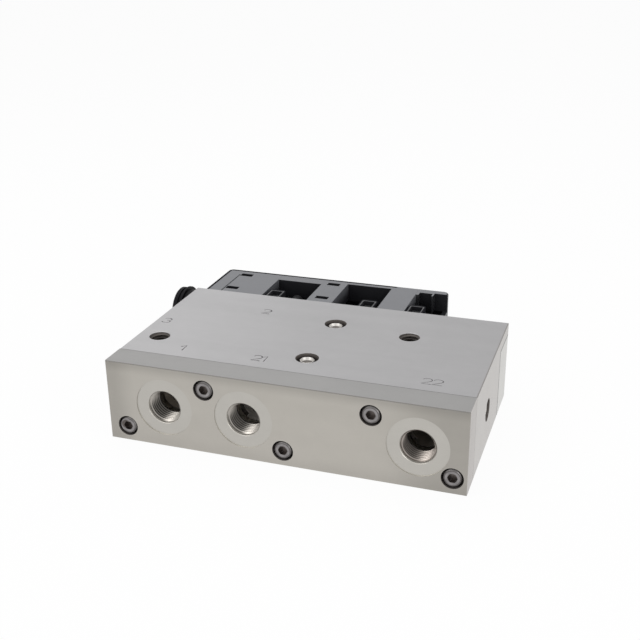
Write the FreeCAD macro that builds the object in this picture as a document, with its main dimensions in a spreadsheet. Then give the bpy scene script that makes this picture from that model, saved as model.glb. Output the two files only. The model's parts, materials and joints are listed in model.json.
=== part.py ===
import FreeCAD
import Part
import Sketcher

import math
import os
from types import SimpleNamespace

# Valve block with three solenoid valves.
#
# The row's origin is the centre of the block's underside. X runs along the block, Y runs from
# the port face to the electrical housing, and Z is up. All lengths are in millimetres.

SIZES = {
    # aluminium block
    "block_length": 170.0,
    "block_depth": 100.0,
    "block_height": 40.0,
    "front_plate_depth": 14.0,
    "rear_plate_depth": 23.0,
    "overhang_height": 6.0,
    "gasket_thickness": 0.2,
    "gasket_inset": 0.6,
    "edge_break": 0.3,
    # threaded ports
    "port_height": 20.0,
    "port_radius": 8.0,
    "port_thread_depth": 10.8,
    "port_bevel": 0.3,
    "spotface_radius": 14.0,
    "spotface_depth": 0.4,
    "port_drilling_radius": 7.2,
    "supply_port_inset": 28.8,
    "first_outlet_place": -17.0,
    "second_outlet_inset": 21.8,
    "exhaust_port_depth": 15.0,
    "outlet_drilling_depth": 22.0,
    # galleries, each at a distance behind the front end of the spools
    "supply_gallery_place": 7.5,
    "supply_gallery_height": 18.6,
    "gallery_radius": 3.0,
    "exhaust_gallery_place": 17.0,
    "exhaust_gallery_drop": 3.0,
    "exhaust_port_shift": 3.0,
    "gallery_overrun": 4.0,
    "channel_width": 6.0,
    "channel_depth": 3.6,
    "link_drilling_radius": 2.5,
    # mounting holes in the top
    "mounting_radius": 5.0,
    "mounting_depth": 15.0,
    "mounting_bevel": 0.25,
    "left_mounting_inset": 11.05,
    "left_mounting_y": -16.5,
    "right_mounting_inset": 42.8,
    "right_mounting_y": 18.1,
    # gallery plugs
    "plug_recess_radius": 5.5,
    "plug_recess_depth": 3.4,
    "plug_length": 9.0,
    "plug_dome_radius": 3.4,
    "plug_dome_rounding": 3.1,
    "plug_dome_sink": 0.1,
    "front_plug_place": 6.4,
    "rear_plug_place": 3.8,
    # socket head screws
    "screw_radius": 2.5,
    "screw_head_radius": 4.25,
    "screw_head_height": 5.0,
    "screw_socket_flats": 4.0,
    "screw_socket_depth": 2.6,
    "screw_head_bevel": 0.5,
    "screw_recess_radius": 5.0,
    "screw_sink": 0.25,
    "screw_hole_radius": 2.75,
    "front_screw_length": 20.0,
    "rear_screw_length": 30.0,
    "screw_low": 7.5,
    "screw_high": 31.8,
    "left_end_inset": 9.2,
    "left_inner_screw": -35.8,
    "middle_screw": 1.7,
    "right_inner_screw": 42.3,
    "right_end_inset": 6.5,
    "rear_screw_low": 8.0,
    "rear_screw_high": 26.0,
    "rear_left_inset": 8.0,
    "rear_middle_screw": -16.6,
    "rear_right_inset": 15.0,
    "housing_screw_radius": 2.0,
    "housing_screw_head_radius": 3.5,
    "housing_screw_head_height": 3.6,
    "housing_screw_length": 10.0,
    "housing_screw_low": 10.0,
    "housing_screw_high": 24.0,
    "left_screws_shift": 11.0,
    "right_screws_shift": 15.45,
    # valve stations
    "station_height": 17.0,
    "valve_bore_radius": 6.0,
    "valve_bore_setback": 9.8,
    "spring_length": 14.0,
    "spool_length": 30.0,
    "spool_groove_radius": 3.6,
    "front_land": 4.0,
    "middle_land": 4.0,
    "rear_land": 6.0,
    "spool_travel": 2.5,
    "stop_gap": 0.1,
    "spring_radius": 4.2,
    "spring_wire_radius": 0.55,
    "spring_turns": 4.0,
    "pin_radius": 1.5,
    # solenoids
    "stem_radius": 7.0,
    "stem_front_gap": 3.1,
    "tube_radius": 5.0,
    "cavity_radius": 4.2,
    "pole_reach": 5.7,
    "armature_end_gap": 0.5,
    "armature_vent": 1.0,
    "tube_end_wall": 1.5,
    "stud_radius": 3.5,
    "stud_overhang": 1.0,
    "seal_groove_depth": 1.3,
    "seal_groove_width": 2.2,
    "seal_groove_place": 3.0,
    "coil_radius": 10.0,
    "coil_length": 26.0,
    "coil_wall": 1.2,
    "coil_end_wall": 1.4,
    "bobbin_wall": 1.0,
    "bobbin_flange": 1.2,
    "winding_gap": 0.3,
    "hump_width": 7.0,
    "hump_length": 10.0,
    "hump_height": 14.5,
    "hump_end_gap": 4.3,
    "coil_nut_flats": 11.0,
    "coil_nut_height": 4.0,
    # moulded housing
    "housing_left": -82.5,
    "housing_depth": 38.2,
    "housing_lift": 2.0,
    "housing_drop": 2.0,
    "housing_gasket_thickness": 1.0,
    "housing_gasket_inset": 0.8,
    "wall": 2.5,
    "front_wall": 3.0,
    "corner_radius": 3.0,
    "rim_radius": 1.0,
    "well_front_margin": 3.6,
    "well_floor_gap": 1.0,
    "well_skirt": 1.6,
    "first_well_lead": 6.2,
    "first_well_width": 25.5,
    "first_well_rear_margin": 9.2,
    "second_well_lead": 18.7,
    "second_well_width": 25.1,
    "second_well_rear_margin": 4.8,
    "third_well_lead": 5.2,
    "slot_length": 7.0,
    "slot_width": 3.7,
    "slot_boss_wall": 0.9,
    "tube_slot_length": 6.2,
    "slot_tube_wall": 1.3,
    "slot_tube_back": 2.2,
    "slot_tube_corner": 2.0,
    "slot_pitch": 26.1,
    "first_slot": 13.5,
    "last_slot_margin": 11.6,
    "front_slot_margin": 9.65,
    "rear_slot_margin": 7.55,
    "slot_boss_depth": 8.0,
    "latch_depth": 5.0,
    "latch_gap": 2.5,
    "groove_place": 8.9,
    "groove_width": 0.8,
    "groove_depth": 0.4,
    "rib_thickness": 1.4,
    "rib_height": 2.0,
    "left_rib_shift": 7.0,
    "middle_rib_shift": 7.2,
    # lid
    "lid_thickness": 2.2,
    "lid_seat": 1.2,
    "lid_gap": 0.15,
    "hook_width": 6.2,
    "hook_thickness": 1.4,
    "hook_back_gap": 0.8,
    "hook_nose": 0.9,
    "hook_nose_height": 2.4,
    "hook_end_gap": 2.0,
    # connector
    "connector_margin": 17.0,
    "connector_height": 19.0,
    "connector_length": 22.8,
    "collar_radius": 12.1,
    "collar_length": 2.6,
    "collar_rounding": 0.6,
    "bayonet_groove_radius": 11.3,
    "bayonet_groove_length": 1.2,
    "flange_radius": 12.8,
    "flange_length": 1.6,
    "neck_radius": 11.0,
    "base_radius": 13.2,
    "base_length": 3.0,
    "socket_radius": 9.8,
    "socket_depth": 14.0,
    "key_width": 1.6,
    "key_height": 1.0,
    "spigot_radius": 9.5,
    "spigot_length": 4.2,
    "connector_nut_radius": 11.7,
    "connector_nut_length": 3.5,
    "connector_seal_radius": 11.4,
    "connector_seal_wire": 0.7,
    "contact_radius": 0.8,
    "contact_reach": 8.0,
    "contact_tail": 1.6,
    "contact_pitch": 2.8,
    "contact_stagger": 2.6,
    "strip_width": 1.8,
    "strip_thickness": 0.6,
    "strip_tab": 2.0,
    # fits
    "running_gap": 0.05,
    "loose_gap": 0.3,
}

XY = "XY_Plane"
XZ = "XZ_Plane"
YZ = "YZ_Plane"


class Length:
    """A length that is held as a formula of the sheet and as its present number."""

    def __init__(self, text, number):
        self.text = text
        self.number = number

    def __add__(self, other):
        other = as_length(other)
        return Length(f"({self.text} + {other.text})", self.number + other.number)

    def __sub__(self, other):
        other = as_length(other)
        return Length(f"({self.text} - {other.text})", self.number - other.number)

    def __mul__(self, other):
        other = as_length(other)
        return Length(f"({self.text} * {other.text})", self.number * other.number)

    def __truediv__(self, other):
        other = as_length(other)
        return Length(f"({self.text} / {other.text})", self.number / other.number)

    def __radd__(self, other):
        return as_length(other) + self

    def __rsub__(self, other):
        return as_length(other) - self

    def __rmul__(self, other):
        return as_length(other) * self

    def __neg__(self):
        return Length(f"(0 - {self.text})", -self.number)


def as_length(value):
    """Turn a plain number into a length, and leave a length as it is."""
    if isinstance(value, Length):
        return value
    return Length(f"{float(value)!r}", float(value))


def write_sheet(doc):
    """Fill the sheet, one named size a row, and return the sizes as lengths."""
    sheet = doc.addObject("Spreadsheet::Sheet", "Sizes")
    lengths = {}
    for row, (name, value) in enumerate(SIZES.items(), start=1):
        sheet.set(f"A{row}", name.replace("_", " "))
        sheet.set(f"B{row}", str(value))
        sheet.setAlias(f"B{row}", name)
        lengths[name] = Length(f"Sizes.{name}", value)
    doc.recompute()
    return SimpleNamespace(**lengths)


doc = FreeCAD.newDocument("valve_block")
size = write_sheet(doc)
nodes = {}


class Outline:
    """A sketch on one of a body's own origin planes, each point tied to the sheet."""

    def __init__(self, body, plane, shift=None):
        self.body = body
        self.sketch = body.newObject("Sketcher::SketchObject", f"{body.Name}_outline")
        origin_plane = [item for item in body.Origin.OriginFeatures if item.Role == plane][0]
        self.sketch.AttachmentSupport = [(origin_plane, "")]
        self.sketch.MapMode = "FlatFace"
        if shift is not None:
            self.sketch.setExpression("AttachmentOffset.Base.z", as_length(shift).text)

    def tie(self, kind, length, *target):
        """Add one dimension and bind it to its formula."""
        length = as_length(length)
        index = self.sketch.addConstraint(Sketcher.Constraint(kind, *target, length.number))
        self.sketch.setExpression(f"Constraints[{index}]", length.text)

    def place(self, item, point, across, up):
        """Fix a point of the sketch by its distances from the sketch's origin."""
        self.tie("DistanceX", across, -1, 1, item, point)
        self.tie("DistanceY", up, -1, 1, item, point)

    def circle(self, across, up, radius):
        """Add a circle."""
        across, up, radius = as_length(across), as_length(up), as_length(radius)
        centre = FreeCAD.Vector(across.number, up.number, 0)
        item = self.sketch.addGeometry(Part.Circle(centre, FreeCAD.Vector(0, 0, 1), radius.number))
        self.place(item, 3, across, up)
        self.tie("Radius", radius, item)
        return self

    def polygon(self, points):
        """Add a closed outline of straight sides."""
        points = [(as_length(across), as_length(up)) for across, up in points]
        corners = [FreeCAD.Vector(across.number, up.number, 0) for across, up in points]
        items = []
        for start, end in zip(corners, corners[1:] + corners[:1]):
            items.append(self.sketch.addGeometry(Part.LineSegment(start, end)))
        for item, following in zip(items, items[1:] + items[:1]):
            self.sketch.addConstraint(Sketcher.Constraint("Coincident", item, 2, following, 1))
        for item, (across, up) in zip(items, points):
            self.place(item, 1, across, up)
        return self

    def rectangle(self, left, right, low, high):
        """Add a rectangle by its four sides."""
        return self.polygon(((left, low), (right, low), (right, high), (left, high)))

    def box_around(self, across, up, width, height):
        """Add a rectangle by its centre and its two widths."""
        across, up = as_length(across), as_length(up)
        return self.rectangle(across - width / 2, across + width / 2, up - height / 2, up + height / 2)

    def hexagon(self, across, up, flats):
        """Add a regular hexagon by its centre and the distance between its flats."""
        corner = flats / math.sqrt(3)
        points = []
        for step in range(6):
            angle = math.radians(60 * step)
            points.append((across + corner * math.cos(angle), up + corner * math.sin(angle)))
        return self.polygon(points)


def new_body(label):
    """Start a sub-part that is built from features."""
    return doc.addObject("PartDesign::Body", label)


def pad(outline, length, forward=True):
    """Add material from an outline, along the sketch's normal or against it."""
    feature = outline.body.newObject("PartDesign::Pad", f"{outline.body.Name}_pad")
    feature.Profile = outline.sketch
    feature.setExpression("Length", as_length(length).text)
    feature.Reversed = not forward
    outline.sketch.Visibility = False
    return feature


def pocket(outline, length, forward=False):
    """Take material away from an outline, against the sketch's normal or along it."""
    feature = outline.body.newObject("PartDesign::Pocket", f"{outline.body.Name}_pocket")
    feature.Profile = outline.sketch
    feature.setExpression("Length", as_length(length).text)
    feature.Reversed = forward
    return feature


def turn(outline, axis):
    """Turn an outline about the sketch's H or V axis."""
    feature = outline.body.newObject("PartDesign::Revolution", f"{outline.body.Name}_turned")
    feature.Profile = outline.sketch
    feature.ReferenceAxis = (outline.sketch, [f"{axis}_Axis"])
    feature.Angle = 360.0
    return feature


def break_edges(body, chosen, width, kind="PartDesign::Chamfer"):
    """Chamfer or round the edges of the body's last feature that a test picks."""
    doc.recompute()
    base = body.Tip
    names = [f"Edge{index}" for index, edge in enumerate(base.Shape.Edges, start=1) if chosen(edge)]
    feature = body.newObject(kind, f"{body.Name}_edges")
    feature.Base = (base, names)
    feature.setExpression("Radius" if kind.endswith("Fillet") else "Size", as_length(width).text)
    return feature


def level_edge(height):
    """Make a test for edges that lie flat at a height."""
    def chosen(edge):
        box = edge.BoundBox
        return abs(box.ZMin - height.number) < 1e-4 and abs(box.ZMax - height.number) < 1e-4
    return chosen


def keep(label, thing):
    """Name a finished sub-part, which also names its file."""
    thing.Label = label
    nodes[label] = thing
    return thing


def stand_at(thing, x=0, y=0, z=0):
    """Bind where a sub-part's own origin stands in the row's frame."""
    for axis, value in (("x", x), ("y", y), ("z", z)):
        thing.setExpression(f"Placement.Base.{axis}", as_length(value).text)
    return thing


def copies(label, master, places):
    """Group linked copies of a master as one node of separate solids."""
    links = []
    for number, (x, y, z) in enumerate(places, start=1):
        link = doc.addObject("App::Link", f"{label}_{number}")
        link.LinkedObject = master
        link.LinkTransform = True
        links.append(stand_at(link, x, y, z))
    group = doc.addObject("Part::Compound", label)
    group.Links = links
    return keep(label, group)


# Faces and places that several pieces share.
half_length = size.block_length / 2
port_face = -size.block_depth / 2
block_rear = size.block_depth / 2
front_seam = port_face + size.front_plate_depth
main_front = front_seam + size.gasket_thickness
rear_seat = block_rear - size.rear_plate_depth
rear_plate_front = rear_seat + size.gasket_thickness
rear_plate_top = size.block_height - size.overhang_height
supply_port_x = size.supply_port_inset - half_length
second_outlet_x = half_length - size.second_outlet_inset
front_ports = (supply_port_x, size.first_outlet_place, second_outlet_x)
front_screw_places = (
    (size.left_end_inset - half_length, size.screw_low),
    (size.left_inner_screw, size.screw_high),
    (size.middle_screw, size.screw_low),
    (size.right_inner_screw, size.screw_high),
    (half_length - size.right_end_inset, size.screw_low),
)
rear_screw_rows = (
    size.rear_left_inset - half_length,
    size.rear_middle_screw,
    half_length - size.rear_right_inset,
)
rear_screw_places = [
    (x, z) for x in rear_screw_rows for z in (size.rear_screw_low, size.rear_screw_high)
]

# The housing stands behind the block, a little lower than its top and above its underside.
housing_low = size.housing_lift
housing_high = size.block_height - size.housing_drop
shell_front = block_rear + size.housing_gasket_thickness
housing_rear = shell_front + size.housing_depth
shell_inside_front = shell_front + size.front_wall
shell_inside_rear = housing_rear - size.wall
shell_inside_left = size.housing_left + size.wall
shell_inside_top = housing_high - size.wall
lid_inside = housing_low + size.lid_thickness
well_front = shell_front + size.well_front_margin
well_low = size.station_height + size.coil_radius + size.well_floor_gap
well_depth = housing_high - well_low
slots = [size.housing_left + size.first_slot + size.slot_pitch * step for step in range(5)]
lid_slots = (slots[0], slots[2])
tube_slots = (slots[1], slots[3], slots[4])
housing_right = slots[4] + size.last_slot_margin
shell_inside_right = housing_right - size.wall
first_well_left = slots[1] - size.first_well_lead
first_well_right = first_well_left + size.first_well_width
first_well_rear = housing_rear - size.first_well_rear_margin
second_well_left = slots[3] - size.second_well_lead
second_well_right = second_well_left + size.second_well_width
second_well_rear = housing_rear - size.second_well_rear_margin
third_well_left = slots[4] - size.third_well_lead
third_well_step = slots[4] + size.tube_slot_length / 2 + size.slot_tube_wall
front_slot_row = shell_front + size.front_slot_margin
rear_slot_row = housing_rear - size.rear_slot_margin
connector_y = shell_front + size.connector_margin

# Each valve station lies on the middle of its well, the last one against the right wall.
stations = (
    (first_well_left + first_well_right) / 2,
    (second_well_left + second_well_right) / 2,
    shell_inside_right - size.coil_radius - size.loose_gap,
)
left_screws = slots[0] + size.left_screws_shift
right_screws = stations[1] + size.right_screws_shift
housing_screw_places = [
    (x, z)
    for x in (left_screws, right_screws)
    for z in (size.housing_screw_low, size.housing_screw_high)
]
ribs = (slots[0] + size.left_rib_shift, slots[2] - size.middle_rib_shift, right_screws)
valve_bore_front = main_front + size.valve_bore_setback
spool_front = valve_bore_front + size.spring_length
spool_rear = spool_front + size.spool_length
supply_gallery_y = spool_front + size.supply_gallery_place
exhaust_gallery_y = spool_front + size.exhaust_gallery_place
exhaust_port_y = exhaust_gallery_y - size.exhaust_port_shift
front_plug_y = valve_bore_front + size.front_plug_place
rear_plug_y = rear_seat - size.rear_plug_place
coil_front = shell_inside_front + size.loose_gap
coil_rear = coil_front + size.coil_length
stem_front = rear_plate_front + size.stem_front_gap
pole_rear = coil_front + size.pole_reach
armature_front = pole_rear + size.spool_travel + size.stop_gap
cavity_rear = coil_rear - size.tube_end_wall
armature_rear = cavity_rear - size.armature_end_gap
stud_length = size.coil_nut_height + size.stud_overhang


# The aluminium block: front plate, main block and rear plate, with sheet gaskets between.

def build_front_plate():
    """Port plate: threaded ports with spotfaces and counterbored screw holes."""
    body = new_body("front_plate")
    outline = Outline(body, XZ, -port_face)
    outline.rectangle(-half_length, half_length, 0, size.block_height)
    pad(outline, size.front_plate_depth, forward=False)
    front = port_face.number
    break_edges(body, lambda edge: edge.BoundBox.YMax < front + 0.01, size.edge_break)
    spotfaces = Outline(body, XZ, -port_face)
    bores = Outline(body, XZ, -port_face)
    drillings = Outline(body, XZ, -port_face)
    for place in front_ports:
        spotfaces.circle(place, size.port_height, size.spotface_radius)
        bores.circle(place, size.port_height, size.port_radius)
        drillings.circle(place, size.port_height, size.port_drilling_radius)
    pocket(spotfaces, size.spotface_depth)
    pocket(bores, size.port_thread_depth)
    pocket(drillings, size.front_plate_depth)
    recesses = Outline(body, XZ, -port_face)
    holes = Outline(body, XZ, -port_face)
    for x, z in front_screw_places:
        recesses.circle(x, z, size.screw_recess_radius)
        holes.circle(x, z, size.screw_hole_radius)
    pocket(recesses, size.screw_head_height + size.screw_sink)
    pocket(holes, size.front_plate_depth)
    mouth = (port_face + size.spotface_depth).number
    bore_radius = size.port_radius.number
    break_edges(body, lambda edge: is_ring(edge, bore_radius, "y", mouth), size.port_bevel)
    return keep("front_plate", body)


def is_ring(edge, radius, axis, place):
    """Tell whether an edge is a full circle of a radius at a place along an axis."""
    if not isinstance(edge.Curve, Part.Circle) or len(edge.Vertexes) != 1:
        return False
    where = getattr(edge.Curve.Center, axis)
    return abs(edge.Curve.Radius - radius) < 1e-4 and abs(where - place) < 1e-4


def build_main_block():
    """Manifold block: valve bores, galleries, front channels and mounting holes."""
    body = new_body("main_block")
    side = Outline(body, YZ, -half_length)
    side.polygon((
        (main_front, 0),
        (rear_seat, 0),
        (rear_seat, rear_plate_top),
        (block_rear, rear_plate_top),
        (block_rear, size.block_height),
        (main_front, size.block_height),
    ))
    pad(side, size.block_length)
    top = size.block_height.number
    rear = block_rear.number
    end = half_length.number

    def outer_top_edge(edge):
        box = edge.BoundBox
        level = box.ZMin > top - 0.01
        at_rear = box.YMin > rear - 0.01
        at_end = box.XMin > end - 0.01 or box.XMax < 0.01 - end
        return level and (at_rear or at_end)

    break_edges(body, outer_top_edge, size.edge_break)
    drill_valve_bores(body)
    drill_front_face(body)
    drill_ends(body)
    drill_top(body)
    return keep("main_block", body)


def drill_valve_bores(body):
    """Bore each station from the step under the overhang, and tap the rear screw holes."""
    bores = Outline(body, XZ, -rear_seat)
    for place in stations:
        bores.circle(place, size.station_height, size.valve_bore_radius)
    pocket(bores, rear_seat - valve_bore_front, forward=True)
    taps = Outline(body, XZ, -rear_seat)
    for x, z in rear_screw_places:
        taps.circle(x, z, size.screw_radius + size.running_gap)
    reach = size.rear_screw_length + size.screw_head_height + size.screw_sink
    pocket(taps, reach - size.rear_plate_depth + size.loose_gap, forward=True)


def drill_front_face(body):
    """Drill the ports deeper, mill the channels that join them to the valves, tap screws."""
    supply = Outline(body, XZ, -main_front)
    supply.circle(supply_port_x, size.port_height, size.port_drilling_radius)
    pocket(supply, supply_gallery_y + size.gallery_radius + size.loose_gap - main_front)
    outlets = Outline(body, XZ, -main_front)
    for place in front_ports[1:]:
        outlets.circle(place, size.port_height, size.port_drilling_radius)
    pocket(outlets, size.outlet_drilling_depth)
    for left, right in (
        (stations[0], stations[1]),
        (stations[2], second_outlet_x),
    ):
        channel = Outline(body, XZ, -main_front)
        half = size.channel_width / 2
        low = size.station_height - half
        high = size.station_height + half
        channel.rectangle(left - half, right + half, low, high)
        pocket(channel, size.channel_depth)
    links = Outline(body, XZ, -main_front)
    for place in stations:
        links.circle(place, size.station_height, size.link_drilling_radius)
    pocket(links, valve_bore_front - main_front + size.loose_gap)
    taps = Outline(body, XZ, -main_front)
    for x, z in front_screw_places:
        taps.circle(x, z, size.screw_radius + size.running_gap)
    reach = size.front_screw_length + size.screw_head_height + size.screw_sink
    pocket(taps, port_face + reach - main_front + size.loose_gap)


def drill_ends(body):
    """Drill the supply gallery from the right end and the exhaust side from the left end."""
    right = Outline(body, YZ, half_length)
    right.circle(supply_gallery_y, size.supply_gallery_height, size.gallery_radius)
    pocket(right, half_length - supply_port_x + size.gallery_overrun)
    recess = Outline(body, YZ, half_length)
    recess.circle(supply_gallery_y, size.supply_gallery_height, size.plug_recess_radius)
    pocket(recess, size.plug_recess_depth)
    spotface = Outline(body, YZ, -half_length)
    spotface.circle(exhaust_port_y, size.port_height, size.spotface_radius)
    pocket(spotface, size.spotface_depth, forward=True)
    port = Outline(body, YZ, -half_length)
    port.circle(exhaust_port_y, size.port_height, size.port_radius)
    pocket(port, size.exhaust_port_depth, forward=True)
    floor = size.exhaust_port_depth - half_length
    gallery = Outline(body, YZ, floor)
    gallery.circle(
        exhaust_gallery_y, size.port_height - size.exhaust_gallery_drop, size.gallery_radius
    )
    pocket(gallery, stations[2] + size.gallery_overrun - floor, forward=True)
    mouth = (size.spotface_depth - half_length).number
    bore_radius = size.port_radius.number
    break_edges(body, lambda edge: is_ring(edge, bore_radius, "x", mouth), size.port_bevel)


def drill_top(body):
    """Sink the two mounting holes and the two plugged drillings of the middle station."""
    top = size.block_height
    mounting = Outline(body, XY, top)
    left = size.left_mounting_inset - half_length
    right = half_length - size.right_mounting_inset
    mounting.circle(left, size.left_mounting_y, size.mounting_radius)
    mounting.circle(right, size.right_mounting_y, size.mounting_radius)
    pocket(mounting, size.mounting_depth)
    height = top.number
    radius = size.mounting_radius.number
    break_edges(body, lambda edge: is_ring(edge, radius, "z", height), size.mounting_bevel)
    drillings = Outline(body, XY, top)
    recesses = Outline(body, XY, top)
    for y in (front_plug_y, rear_plug_y):
        drillings.circle(stations[1], y, size.gallery_radius)
        recesses.circle(stations[1], y, size.plug_recess_radius)
    pocket(drillings, top - size.station_height)
    pocket(recesses, size.plug_recess_depth)


def build_rear_plate():
    """Rear plate under the overhang: it carries the three pole tubes."""
    body = new_body("rear_plate")
    outline = Outline(body, XZ, -block_rear)
    outline.rectangle(-half_length, half_length, 0, rear_plate_top)
    depth = block_rear - rear_plate_front
    pad(outline, depth)
    rear = block_rear.number
    break_edges(body, lambda edge: edge.BoundBox.YMin > rear - 0.01, size.edge_break)
    chambers = Outline(body, XZ, -block_rear)
    stems = Outline(body, XZ, -block_rear)
    for place in stations:
        chambers.circle(place, size.station_height, size.valve_bore_radius)
        stems.circle(place, size.station_height, size.stem_radius + size.running_gap)
    pocket(chambers, depth, forward=True)
    pocket(stems, block_rear - stem_front, forward=True)
    recesses = Outline(body, XZ, -block_rear)
    holes = Outline(body, XZ, -block_rear)
    for x, z in rear_screw_places:
        recesses.circle(x, z, size.screw_recess_radius)
        holes.circle(x, z, size.screw_hole_radius)
    pocket(recesses, size.screw_head_height + size.screw_sink, forward=True)
    pocket(holes, depth, forward=True)
    taps = Outline(body, XZ, -block_rear)
    for x, z in housing_screw_places:
        taps.circle(x, z, size.housing_screw_radius + size.running_gap)
    pocket(taps, size.housing_screw_length, forward=True)
    return keep("rear_plate", body)


def build_front_gasket():
    """Sheet gasket behind the front plate, open at ports, channels and screws."""
    body = new_body("front_gasket")
    inset = size.gasket_inset
    sheet = Outline(body, XZ, -front_seam)
    sheet.rectangle(inset - half_length, half_length - inset, inset, size.block_height - inset)
    pad(sheet, size.gasket_thickness, forward=False)
    holes = Outline(body, XZ, -front_seam)
    for place in front_ports:
        holes.circle(place, size.port_height, size.port_drilling_radius + size.loose_gap)
    for x, z in front_screw_places:
        holes.circle(x, z, size.screw_hole_radius)
    pocket(holes, size.gasket_thickness)
    return keep("front_gasket", body)


def build_rear_gasket():
    """Sheet gasket in front of the rear plate, open at the valve bores and screws."""
    body = new_body("rear_gasket")
    inset = size.gasket_inset
    sheet = Outline(body, XZ, -rear_seat)
    sheet.rectangle(inset - half_length, half_length - inset, inset, rear_plate_top - inset)
    pad(sheet, size.gasket_thickness, forward=False)
    holes = Outline(body, XZ, -rear_seat)
    for place in stations:
        holes.circle(place, size.station_height, size.valve_bore_radius + size.loose_gap)
    for x, z in rear_screw_places:
        holes.circle(x, z, size.screw_hole_radius)
    pocket(holes, size.gasket_thickness)
    return keep("rear_gasket", body)


# Fasteners and plugs.

def cap_screw(name, radius, head_radius, head_height, length, flats, socket, bevel):
    """Socket head cap screw along +Y, with the outer face of its head at its origin."""
    body = new_body(name)
    half = Outline(body, XY)
    half.polygon((
        (0, 0),
        (head_radius - bevel, 0),
        (head_radius, bevel),
        (head_radius, head_height),
        (radius, head_height),
        (radius, head_height + length),
        (0, head_height + length),
    ))
    turn(half, "V")
    pocket(Outline(body, XZ).hexagon(0, 0, flats), socket)
    return body


def turned_over(label, master):
    """Link to a master that is turned half a turn about Z, so that it points along -Y."""
    link = doc.addObject("App::Link", label)
    link.LinkedObject = master
    link.LinkTransform = True
    link.Placement = FreeCAD.Placement(
        FreeCAD.Vector(), FreeCAD.Rotation(FreeCAD.Vector(0, 0, 1), 180)
    )
    return link


def build_screws():
    """Front plate, rear plate and housing screws, each kind one group."""
    socket = (size.screw_socket_flats, size.screw_socket_depth, size.screw_head_bevel)
    head = (size.screw_head_radius, size.screw_head_height)
    front = cap_screw("front_screw", size.screw_radius, *head, size.front_screw_length, *socket)
    seat = port_face + size.screw_sink
    copies("front_plate_screws", front, [(x, seat, z) for x, z in front_screw_places])
    rear = cap_screw("rear_screw", size.screw_radius, *head, size.rear_screw_length, *socket)
    rear = turned_over("rear_screw_turned", rear)
    seat = block_rear - size.screw_sink
    copies("rear_plate_screws", rear, [(x, seat, z) for x, z in rear_screw_places])
    small = cap_screw(
        "housing_screw",
        size.housing_screw_radius,
        size.housing_screw_head_radius,
        size.housing_screw_head_height,
        size.housing_screw_length + size.front_wall,
        *socket,
    )
    small = turned_over("housing_screw_turned", small)
    seat = shell_inside_front + size.housing_screw_head_height
    copies("housing_screws", small, [(x, seat, z) for x, z in housing_screw_places])


def plug_body(name):
    """Pressed gallery plug along -Z: a shank under a dome that stands on the recess's floor."""
    body = new_body(name)
    top = -size.plug_dome_sink
    floor = -size.plug_recess_depth
    shank = size.gallery_radius - size.running_gap
    half = Outline(body, XZ)
    half.polygon((
        (0, top),
        (size.plug_dome_radius, top),
        (size.plug_dome_radius, floor),
        (shank, floor),
        (shank, floor - size.plug_length),
        (0, floor - size.plug_length),
    ))
    turn(half, "V")
    break_edges(
        body,
        lambda edge: is_ring(edge, size.plug_dome_radius.number, "z", top.number),
        size.plug_dome_rounding,
        "PartDesign::Fillet",
    )
    return body


def build_gallery_plugs():
    """Two plugs in the top and one, turned on its side, in the right end."""
    master = plug_body("plug")
    sideways = doc.addObject("App::Link", "plug_turned")
    sideways.LinkedObject = master
    sideways.LinkTransform = True
    sideways.Placement = FreeCAD.Placement(
        FreeCAD.Vector(), FreeCAD.Rotation(FreeCAD.Vector(0, 1, 0), 90)
    )
    top = size.block_height
    places = (
        (master, stations[1], front_plug_y, top),
        (master, stations[1], rear_plug_y, top),
        (sideways, half_length, supply_gallery_y, size.supply_gallery_height),
    )
    links = []
    for number, (source, x, y, z) in enumerate(places, start=1):
        link = doc.addObject("App::Link", f"gallery_plug_{number}")
        link.LinkedObject = source
        link.LinkTransform = True
        links.append(stand_at(link, x, y, z))
    group = doc.addObject("Part::Compound", "gallery_plugs")
    group.Links = links
    keep("gallery_plugs", group)


# One valve station. Its own origin lies on the valve's axis, in the row's middle plane.

def build_spool(number):
    """Spool with three lands, turned from bar."""
    body = new_body(f"spool_{number}")
    land = size.valve_bore_radius - size.running_gap
    groove = size.spool_groove_radius
    front = spool_front
    middle = (front + spool_rear) / 2
    half = Outline(body, XY)
    half.polygon((
        (0, front),
        (land, front),
        (land, front + size.front_land),
        (groove, front + size.front_land),
        (groove, middle - size.middle_land / 2),
        (land, middle - size.middle_land / 2),
        (land, middle + size.middle_land / 2),
        (groove, middle + size.middle_land / 2),
        (groove, spool_rear - size.rear_land),
        (land, spool_rear - size.rear_land),
        (land, spool_rear),
        (0, spool_rear),
    ))
    turn(half, "V")
    return keep(f"spool_{number}", body)


def build_push_pin(number):
    """Pin that passes the armature's push to the spool."""
    body = new_body(f"push_pin_{number}")
    circle = Outline(body, XZ, -spool_rear)
    circle.circle(0, 0, size.pin_radius)
    pad(circle, armature_front - spool_rear, forward=False)
    return keep(f"push_pin_{number}", body)


def build_armature(number):
    """Plunger in the pole tube, with a vent groove along it."""
    body = new_body(f"armature_{number}")
    radius = size.cavity_radius - size.running_gap
    circle = Outline(body, XZ, -armature_front)
    circle.circle(0, 0, radius)
    pad(circle, armature_rear - armature_front, forward=False)
    vent = Outline(body, XZ, -armature_front)
    vent.box_around(0, radius, size.armature_vent, size.armature_vent)
    pocket(vent, armature_rear - armature_front)
    return keep(f"armature_{number}", body)


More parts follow.
